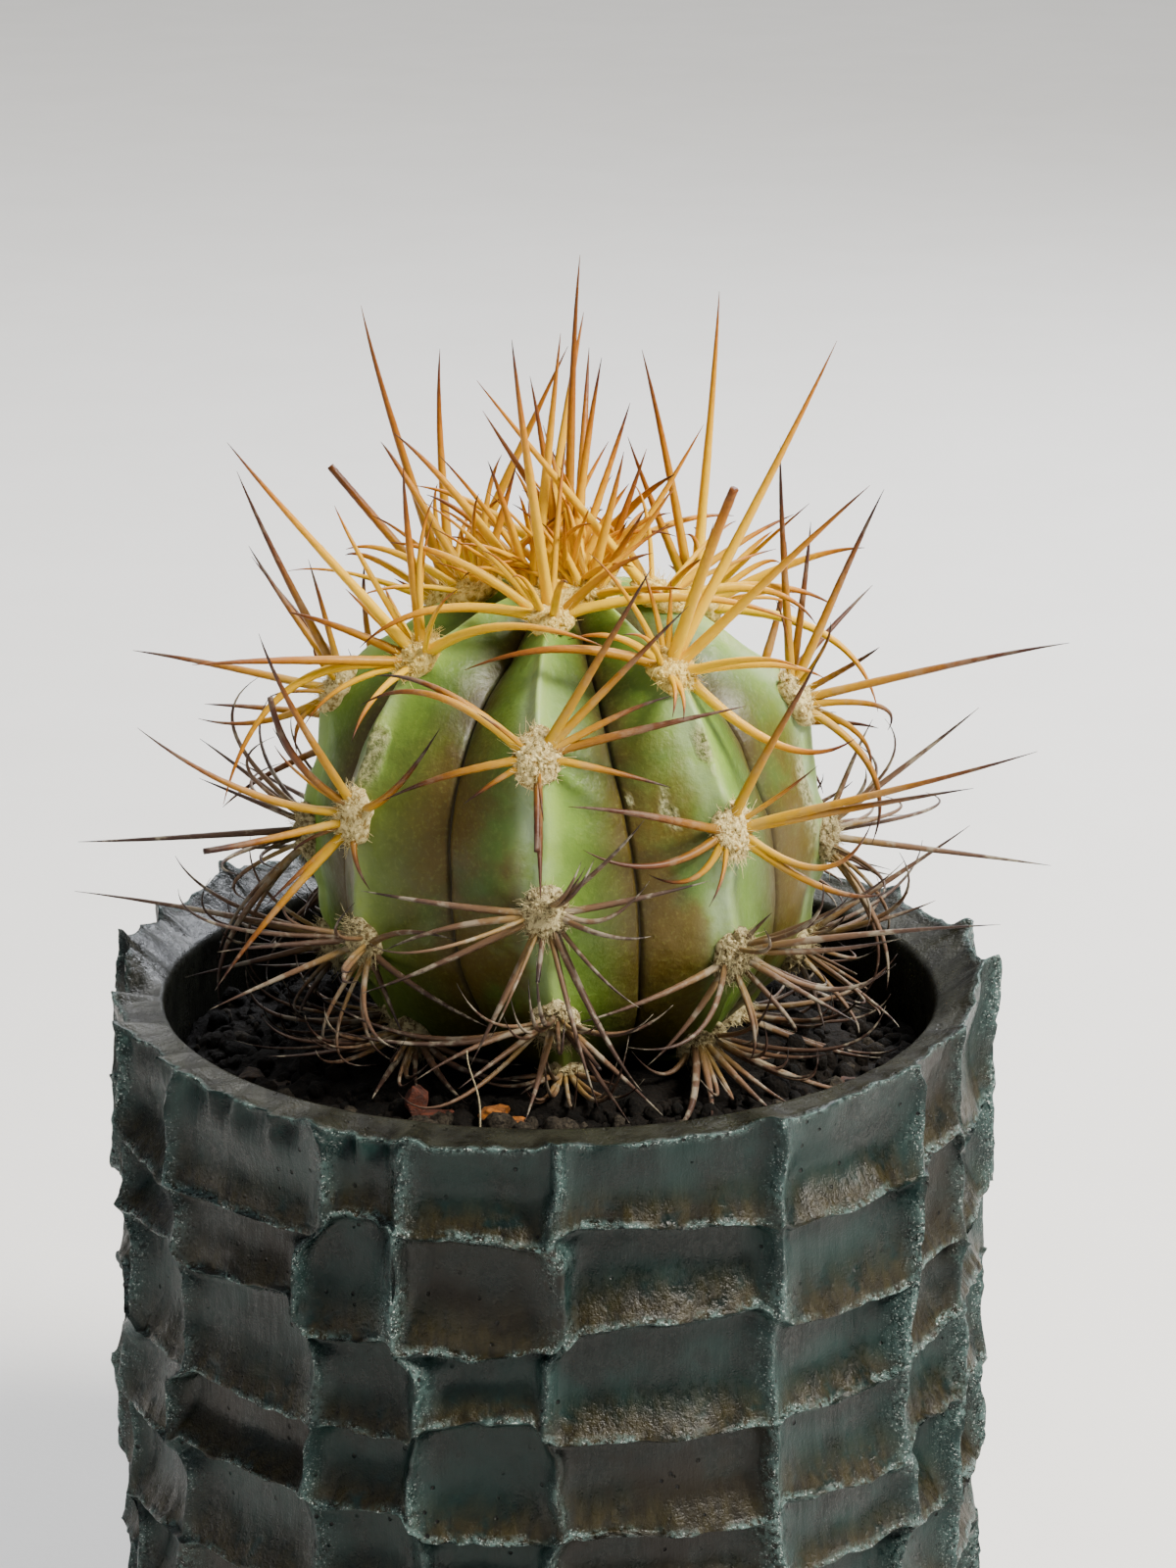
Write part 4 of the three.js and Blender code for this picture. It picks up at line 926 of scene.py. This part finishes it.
def make_soil():
    """The crumbly surface, its sides and base as one closed mesh, and what lies and stands on it."""
    shape = Shape("granule", "chance", "fibre")
    sides = 390
    reach = POT_BORE_RADIUS - 0.15
    shares = np.append(np.linspace(0.02, 0.45, 8), np.linspace(0.47, 1, 66))[:, None]
    azimuth = (360 * np.arange(sides) / sides)[None, :]
    top = around(azimuth, reach * shares, 0)
    height = soil_height(top[..., 0], top[..., 1])
    height = height + 0.9 * noise(top, 4.2, 31) + 0.9 * (0.55 - cells(top, 3.1, 32))
    height = height + 0.6 * (0.5 - cells(top, 1.5, 37)) + 0.25 * noise(top, 0.9, 41)
    top[..., 2] = height - 0.2
    base = around(azimuth, reach, POT_FLOOR + FIT_GAP)
    grid = np.concatenate([top, base])
    shape.add(grid, closed_faces(len(grid), sides), chance=np.clip(0.5 + 0.5 * noise(grid, 5, 44), 0, 1))
    rng = np.random.default_rng(7)
    for crumbs in CRUMBS:
        strew(shape, rng, *crumbs)
    add_fibre(shape)
    shape.piece("potting_soil", ["soil"], soil_paint())


# Each chip is two broken flakes in the place of its CAD node: middle and size as shares of the node's box.
FLAKES = [((0.36, 0.6, 0.6), (0.46, 0.62, 0.8)), ((0.68, 0.35, 0.34), (0.62, 0.66, 0.34))]
BREAKS = 16  # flat faces broken onto a flake
BARK_COLOURS = [("#5a2409", "#1f0b04"), ("#a8620c", "#4e2a08"), ("#33220f", "#130c06"),
                ("#45240f", "#1d0f08")]


def make_bark():
    points, faces = unit_ball(4)
    for number, (light, dark) in enumerate(BARK_COLOURS, 1):
        node = f"bark_chip_{number}"
        low, high = (np.array(corner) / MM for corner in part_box(node))
        rng = np.random.default_rng(200 + number)
        shape = Shape()
        for middle, size in FLAKES:
            flake = points.copy()
            for normal, reach in zip(unit(rng.normal(0, 1, (BREAKS, 3))), rng.uniform(0.5, 0.85, BREAKS)):
                flake = flake - np.maximum(flake @ normal - reach, 0)[:, None] * normal
            flake = low + (high - low) * middle + flake * (high - low) * size * 0.62
            shape.add(flake + (0.2 * noise(flake, 0.9, number))[:, None] * points, faces)
        shape.piece(f"bark_{number}", [node], bark_paint(number, light, dark))


# ---- Areoles ----------------------------------------
def make_areole(name, polar, azimuth, size):
    centre = off_centre(polar, azimuth, body_radius(polar, azimuth) + FIT_GAP)
    out = unit(centre - BODY_CENTRE)
    side = np.cross([0, 0, 1], out)
    side = unit(side) if np.linalg.norm(side) >= 0.01 else np.array([1.0, 0, 0])
    return {"name": name, "polar": polar, "size": size, "centre": centre, "out": out, "side": side,
            "along": np.cross(out, side), "spines": []}


def lowest_polar():
    """Where the lowest row of areoles sits, just above the soil line."""
    soil_line = BODY_BURIED + LOWEST_AREOLE_LIFT - BODY_HALF_HEIGHT
    polar = 175
    while body_radius(polar, crest_azimuth(0, polar)) * math.cos(math.radians(polar)) < soil_line:
        polar -= 0.5
    return polar


def lay_out_areoles():
    """The areole on the crown and those down each rib, in the CAD's order and by its names."""
    areoles = [make_areole("crown", 0, 0, CROWN_WOOL_SHARE)]
    odd_rows = [*ODD_RIB_ROWS, lowest_polar()]
    for rib in range(len(RIBS)):
        rows = odd_rows if rib % 2 == 0 else EVEN_RIB_ROWS
        for polar, letter in zip(rows, "abcde"):
            size = CROWN_WOOL_SHARE if polar < 15 else 1
            areoles.append(make_areole(f"{rib + 1}{letter}", polar, crest_azimuth(rib, polar), size))
    return areoles


def ring_of_spines(areole, number):
    """The wishes of an areole with no chosen spines, by the CAD's rule."""
    wishes = []
    for k in range(RADIAL_COUNT):
        turn = math.radians(360 * (k + 0.5 * scatter(number, k)) / RADIAL_COUNT)
        lift = 0.35 + 0.35 * scatter(k, number + 9)
        length = RADIAL_LENGTH * (0.75 + 0.5 * scatter(number + 3, k + 5))
        reach = areole["side"] * math.cos(turn) + areole["along"] * math.sin(turn) + areole["out"] * lift
        wishes.append((*(unit(reach) * length), RADIAL_ARCH))
    central = areole["out"] + areole["along"] * (0.8 * scatter(number, 77) - 0.2)
    wishes.append((*(unit(central) * CENTRAL_LENGTH * (0.8 + 0.35 * scatter(number, 21))), 1))
    return wishes


def spine_path(areole, reach, arch, rise, steps):
    """Points along a spine: off the pad on the side it leans to, arched, to its tip."""
    out = areole["out"]
    lean = reach - out * (reach @ out)
    sideways = min(np.linalg.norm(lean) / np.linalg.norm(reach), 1)
    root = areole["centre"] + out * WOOL_HEIGHT * 0.2
    root = root + unit(lean) * WOOL_WIDTH * 0.3 * areole["size"] * sideways
    tip = areole["centre"] + reach
    away = unit((root + tip) / 2 - BODY_CENTRE) * arch + np.array([0, 0, rise])
    steps = np.asarray(steps)[:, None]
    return root + (tip - root) * steps + away * 4 * steps * (1 - steps)


def gaps_to(p1, q1, starts, ends):
    """Shortest distance from one segment to each of several others. A segment may be a single point."""
    d1, d2, r = q1 - p1, ends - starts, p1 - starts
    a, e = d1 @ d1, (d2 * d2).sum(axis=1)
    f, c, b = (d2 * r).sum(axis=1), r @ d1, d2 @ d1
    slack = a * e - b * b
    s = np.where(slack > 1e-9, np.clip((b * f - c * e) / np.maximum(slack, 1e-12), 0, 1), 0)
    t = np.clip((b * s + f) / np.maximum(e, 1e-12), 0, 1)
    s = np.clip((b * t - c) / a, 0, 1)
    return np.linalg.norm(p1 + s[:, None] * d1 - starts - t[:, None] * d2, axis=1)


def chip_centres():
    """The middle of each bark chip in the CAD, with half of its length."""
    centres = []
    for azimuth, from_wall, length, thickness in CHIPS:
        spot = around(azimuth, POT_BORE_RADIUS - from_wall, 0.0)
        spot[2] = soil_height(spot[0], spot[1]) + thickness * 0.28
        centres.append((spot, length / 2))
    return centres


CHIP_CENTRES = chip_centres()


def height_over_skin(points):
    offset = points - BODY_CENTRE
    distance = np.linalg.norm(offset, axis=1)
    polar = np.degrees(np.arccos(offset[:, 2] / distance))
    azimuth = np.degrees(np.arctan2(offset[:, 0], -offset[:, 1]))
    return distance - body_radius(polar, azimuth)


def points_are_free(points):
    """Off the body and the bark, above the soil, and inside the bore or above the rim."""
    if (height_over_skin(points) < SPINE_THICKNESS).any():
        return False
    if (points[:, 2] < soil_height(points[:, 0], points[:, 1]) + SPINE_THICKNESS).any():
        return False
    for centre, half in CHIP_CENTRES:
        if (np.linalg.norm(points - centre, axis=1) < half + SPINE_THICKNESS).any():
            return False
    radius = np.hypot(points[:, 0], points[:, 1])
    return ((radius < POT_BORE_RADIUS - SPINE_THICKNESS) | (points[:, 2] > RIM_TOP + SPINE_THICKNESS)).all()


def turned_about(vector, axis, angle):
    """A vector turned about a unit axis."""
    sine, cosine = math.sin(angle), math.cos(angle)
    return vector * cosine + np.cross(axis, vector) * sine + axis * (axis @ vector) * (1 - cosine)


CAD_STEPS = (0, 0.35, 0.7, 1)


def grow_spine(areole, wish, others, pads, pad_reaches):
    """Finds the CAD's way for a spine: as wished if that is free, else leaning aside, else shorter."""
    x, y, z, arch, rise, end = (*wish, *(0, 0, "sharp")[len(wish) - 3:])
    reach = np.array([x, y, z], float)
    side_axis = np.cross(reach, areole["out"])
    side_axis = unit(side_axis if np.linalg.norm(side_axis) >= 0.01 else areole["side"])
    other_axis = unit(np.cross(reach, side_axis))
    for shorter in (1, 0.85, 0.7, 0.55, 0.4):
        for ring in range(7):
            tries = 8 if ring else 1
            for k in range(tries):
                lean = math.radians(3 * ring)
                turned = turned_about(reach * shorter, side_axis, lean * math.cos(2 * math.pi * k / tries))
                turned = turned_about(turned, other_axis, lean * math.sin(2 * math.pi * k / tries))
                points = spine_path(areole, turned, arch * shorter, rise * shorter, CAD_STEPS)
                middles = (points[:-1] + points[1:]) / 2
                if not points_are_free(np.concatenate([middles, points[1:]])):
                    continue
                if any((gaps_to(a, b, *others) < SPINE_THICKNESS + 2 * FIT_GAP).any()
                       or (gaps_to(a, b, pads, pads) < pad_reaches).any()
                       for a, b in zip(points[:-1], points[1:])):
                    continue
                areole["spines"].append({"reach": turned, "arch": arch * shorter, "rise": rise * shorter,
                                         "end": end, "points": points})
                return


def segments_of(areoles, apart_from):
    """Starts and ends of all straight stretches of the CAD's spines on the other areoles."""
    others = [areole for areole in areoles if areole is not apart_from]
    chains = [spine["points"] for areole in others for spine in areole["spines"]]
    if not chains:
        far = np.full((1, 3), 1e4)
        return far, far + 1
    return np.concatenate([c[:-1] for c in chains]), np.concatenate([c[1:] for c in chains])


def pads_of(areoles, apart_from):
    """Middles of the other areoles' wool pads, and how far a spine has to stay from each."""
    others = [areole for areole in areoles if areole is not apart_from]
    reaches = [WOOL_LENGTH * 0.5 * areole["size"] + SPINE_THICKNESS for areole in others]
    return np.array([areole["centre"] for areole in others]), np.array(reaches)


def grow_all(areoles):
    """The chosen spines first, then those that follow the rule, as in the CAD."""
    chosen, ruled = [], []
    for number, areole in enumerate(areoles):
        if areole["name"] in CHOSEN_SPINES:
            chosen.append((areole, CHOSEN_SPINES[areole["name"]]))
        else:
            ruled.append((areole, ring_of_spines(areole, number)))
    for areole, wishes in chosen + ruled:
        around_it = segments_of(areoles, areole), *pads_of(areoles, areole)
        for wish in wishes:
            grow_spine(areole, wish, *around_it)


SPINE_STEPS = np.linspace(0, 1, 26)
TIP_RADIUS = 0.035
THICKER = {"spines_young": 1.45, "spines_middle": 1.25, "spines_old": 1.05}


def tapered(steps):
    """Thickness along a spine that ends in a sharp tip."""
    return (1 - steps ** 1.5) ** 0.78


def add_spines(shape, areole, rng):
    """The CAD's spines, round, smoothly curved and tapered."""
    paths, radii = [], []
    thicker = THICKER[slot_of(areole)]
    for spine in areole["spines"]:
        path = spine_path(areole, spine["reach"], spine["arch"], spine["rise"], SPINE_STEPS)
        length = np.linalg.norm(spine["reach"])
        thick = 0.5 * SPINE_THICKNESS * thicker * np.clip(0.5 + 0.5 * length / 26, 0.66, 1.0)
        path = path + rng.normal(0, 0.012, 3) * length * (SPINE_STEPS ** 2 * (1 - SPINE_STEPS))[:, None] * 3
        taper = 1 - 0.3 * SPINE_STEPS if spine["end"] == "blunt" else tapered(SPINE_STEPS)
        taper = taper * (1 + 0.3 * np.exp(-((SPINE_STEPS * length / 1.2) ** 2)))
        taper = taper * (1 + 0.03 * np.sin(SPINE_STEPS * length * 3.1 + rng.uniform(0, 6)))
        paths.append(path)
        radii.append(np.maximum(thick * taper, TIP_RADIUS))
    if paths:
        shape.tubes(np.array(paths), np.array(radii), 8, 0.86, share=SPINE_STEPS[None, :],
                    chance=rng.random((len(paths), 1)))


def add_thin_spines(shape, areole, rng, count, lengths, lifts, arches, thickness, darkest=1.0):
    """Thinner spines than the CAD holds: the thicket round the crown, and the tangle over the soil."""
    paths, radii = [], []
    steps = np.linspace(0, 1, 18)
    for _ in range(12 * count):
        turn = rng.uniform(0, 2 * np.pi)
        reach = areole["side"] * math.cos(turn) + areole["along"] * math.sin(turn)
        reach = unit(reach + areole["out"] * rng.uniform(*lifts)) * rng.uniform(*lengths)
        path = spine_path(areole, reach, rng.uniform(*arches), 0, steps)
        width = rng.uniform(*thickness) * tapered(steps)
        if len(paths) < count and clear_of_all(path[6:]):
            paths.append(path)
            radii.append(np.maximum(width, TIP_RADIUS))
    if paths:
        shape.tubes(np.array(paths), np.array(radii), 6, share=steps[None, :],
                    chance=darkest * rng.random((len(paths), 1)))


def clear_of_all(points):
    """Half a millimetre off the skin, above the soil, and inside the bore or above the rim."""
    off_skin = height_over_skin(points) > 0.5
    above = points[:, 2] > soil_height(points[:, 0], points[:, 1]) + 0.6
    inside = (np.hypot(points[:, 0], points[:, 1]) < POT_BORE_RADIUS - 0.6) | (points[:, 2] > RIM_TOP)
    return (off_skin & above & inside).all()


def dome_spots(rng, count):
    """Scattered points of a round dome of radius 1: seen from above, and their heights."""
    turn = rng.uniform(0, 2 * np.pi, count)
    outward = np.sqrt(rng.uniform(0, 1, count))
    flat = np.stack([np.cos(turn) * outward, np.sin(turn) * outward], axis=1)
    return flat, np.sqrt(np.clip(1 - (flat ** 2).sum(axis=1), 0, 1))[:, None]


def add_wool(shape, areole, rng, width, length, height, lump_count, hair_count):
    """A crumbly felt pad: a rough cushion, crumbs on it, and stray hairs."""
    centre = areole["centre"]
    axes = np.stack([areole["side"], areole["along"], areole["out"]])
    half = np.array([width / 2, length / 2, height])
    points, faces = FINE_BALL
    pad = points * half
    pad = pad * (1 + 0.16 * noise(pad + areole["polar"], 1.4, 61) + 0.1 * noise(pad, 0.6, 62))[:, None]
    shape.add(centre + pad @ axes, faces, share=0.2, wool=1.0)
    flat, dome = dome_spots(rng, lump_count)
    spots = np.concatenate([flat * 0.98, dome * 0.95], axis=1) * half
    sizes = rng.uniform(0.12, 0.42, lump_count)[:, None] * rng.uniform(0.6, 1.3, (lump_count, 3))
    shape.lumps(centre + spots @ axes, sizes, SMALL_BALL, 0.6, 63, share=rng.random(lump_count), wool=1.0)
    flat, dome = dome_spots(rng, hair_count)
    roots = centre + (np.concatenate([flat, dome * 0.8], axis=1) * half) @ axes
    direction = np.concatenate([flat, dome + 0.3], axis=1) @ axes
    direction = unit(direction + rng.normal(0, 0.35, (hair_count, 3)))
    curl = rng.normal(0, 0.5, (hair_count, 3))
    steps = np.linspace(0, 1, 5)[:, None]
    lengths = rng.uniform(0.4, 1.5, hair_count)[:, None, None]
    paths = roots[:, None] + lengths * (direction[:, None] * steps + curl[:, None] * steps ** 2)
    radii = np.tile(0.055 * (1 - 0.6 * steps[:, 0]), (hair_count, 1))
    shape.tubes(paths, radii, 3, share=1.0, chance=0.5, wool=1.0)


def slot_of(areole):
    """The newest areoles are on the crown, the oldest by the soil."""
    if areole["polar"] < 50:
        return "spines_young"
    return "spines_middle" if areole["polar"] < 85 else "spines_old"


# Thin spines by where the areole is: how many (not for TOP_THICKET), then the least and the most of their
# length, of how far they stand up, of how far they arch and of their radius at the root. A last number says
# how dark the darkest is.
CROWN_THICKET = (11, (12, 27), (0.3, 1.8), (0.5, 3), (0.5, 0.8), 0.4)
TOP_THICKET = ((11, 25), (0.2, 1.6), (0.5, 3), (0.42, 0.66), 0.7)
MIDDLE_THICKET = (2, (9, 16), (0.3, 1.0), (0.5, 2), (0.3, 0.42))
SOIL_TANGLE = (9, (13, 28), (0.1, 0.8), (2.5, 8), (0.3, 0.46))


def make_areoles(areoles):
    """One piece for each areole: its spines and its wool."""
    paints = {age: areole_paint(age) for age in SPINE_COLOURS}
    for number, areole in enumerate(areoles):
        rng = np.random.default_rng(100 + number)
        shape = Shape("share", "chance", "wool")
        add_spines(shape, areole, rng)
        size, polar = areole["size"], areole["polar"]
        if areole["name"] == "crown":
            add_thin_spines(shape, areole, rng, *CROWN_THICKET)
            add_wool(shape, areole, rng, 15, 15, 2.8, 300, 800)
        elif polar < 50:
            add_thin_spines(shape, areole, rng, 9 if polar < 15 else 7, *TOP_THICKET)
        else:
            add_thin_spines(shape, areole, rng, *(MIDDLE_THICKET if polar < 85 else SOIL_TANGLE))
        if areole["name"] != "crown":
            add_wool(shape, areole, rng, WOOL_WIDTH * size, WOOL_LENGTH * size, WOOL_HEIGHT, 170, 340)
        age = slot_of(areole)
        shape.piece(f"spines_{areole['name']}", [f"areole_{areole['name']}"], paints[age])


# ---- Studio ----------------------------------------
CAMERA_PITCH = 17
CAMERA_DISTANCE = 600
CAMERA_RIGHT = 3.1
CAMERA_UP = 5.6
CAMERA_LENS = 96.4


# Each light's azimuth and elevation, its distance and side in metres, its power in watts, and its tint.
SOFTBOXES = {
    "key": (62, 48, 1.1, 0.35, 34, "#fff8ec"),
    "rim": (150, 40, 1.2, 0.5, 18, "#f2f6ff"),
    "fill": (-50, 25, 1.3, 0.9, 1.5, "#ffffff"),
    "back": (180, 50, 3.2, 2.0, 75, "#ffffff"),
}
SKY_STRENGTH = 0.32
FLOOR_REACH = 4  # metres from the object to each side


def make_camera():
    """Looks down at the plant from the front."""
    pitch = math.radians(CAMERA_PITCH)
    forward = Vector((0, math.cos(pitch), -math.sin(pitch)))
    up = Vector((0, math.sin(pitch), math.cos(pitch)))
    target = Vector(BODY_CENTRE) + Vector((CAMERA_RIGHT, 0, 0)) + up * CAMERA_UP
    data = bpy.data.cameras.new("camera")
    data.lens = CAMERA_LENS
    data.sensor_width = 36
    data.clip_start = 0.01
    camera = add_object("camera", data)
    camera.location = (target - forward * CAMERA_DISTANCE) * MM
    camera.rotation_mode = "QUATERNION"
    camera.rotation_quaternion = forward.to_track_quat("-Z", "Y")
    bpy.context.scene.camera = camera


def make_softbox(name, azimuth, elevation, distance, size, power, tint):
    """A square light, turned to the middle of the object."""
    data = bpy.data.lights.new(name, "AREA")
    data.shape = "SQUARE"
    data.size = size
    data.energy = power
    data.color = colour(tint)[:3]
    light = add_object(name, data)
    height = distance * math.sin(math.radians(elevation))
    place = Vector(around(azimuth, distance * math.cos(math.radians(elevation)), height).tolist())
    light.location = place + Vector((0, 0, POT_HEIGHT * MM))
    light.rotation_mode = "QUATERNION"
    light.rotation_quaternion = (-place).to_track_quat("-Z", "Y")


def make_studio():
    """A plain pale floor, an even sky and four soft lights."""
    mesh = bpy.data.meshes.new("floor")
    corners = [(-1, -1), (1, -1), (1, 1), (-1, 1)]
    mesh.from_pydata([(FLOOR_REACH * x, FLOOR_REACH * y, 0) for x, y in corners], [], [(0, 1, 2, 3)])
    paint = Paint("floor_paper")
    shade = paint.mix(paint.noise(60, 3), "#d9d7d2", "#e2e0dc")
    mesh.materials.append(paint.finish(shade, 0.9, paint.bump(paint.noise(1.5), 0.05)))
    floor = add_object("floor", mesh)
    world = bpy.data.worlds.new("studio")
    world.use_nodes = True
    sky = world.node_tree.nodes["Background"].inputs
    sky["Color"].default_value = colour("#e8eaee")
    sky["Strength"].default_value = SKY_STRENGTH
    bpy.context.scene.world = world
    for name, settings in SOFTBOXES.items():
        make_softbox(name, *settings)


make_camera()
make_pot()
plant = lay_out_areoles()
grow_all(plant)
make_soil()
make_bark()
make_body(plant)
make_areoles(plant)
make_studio()
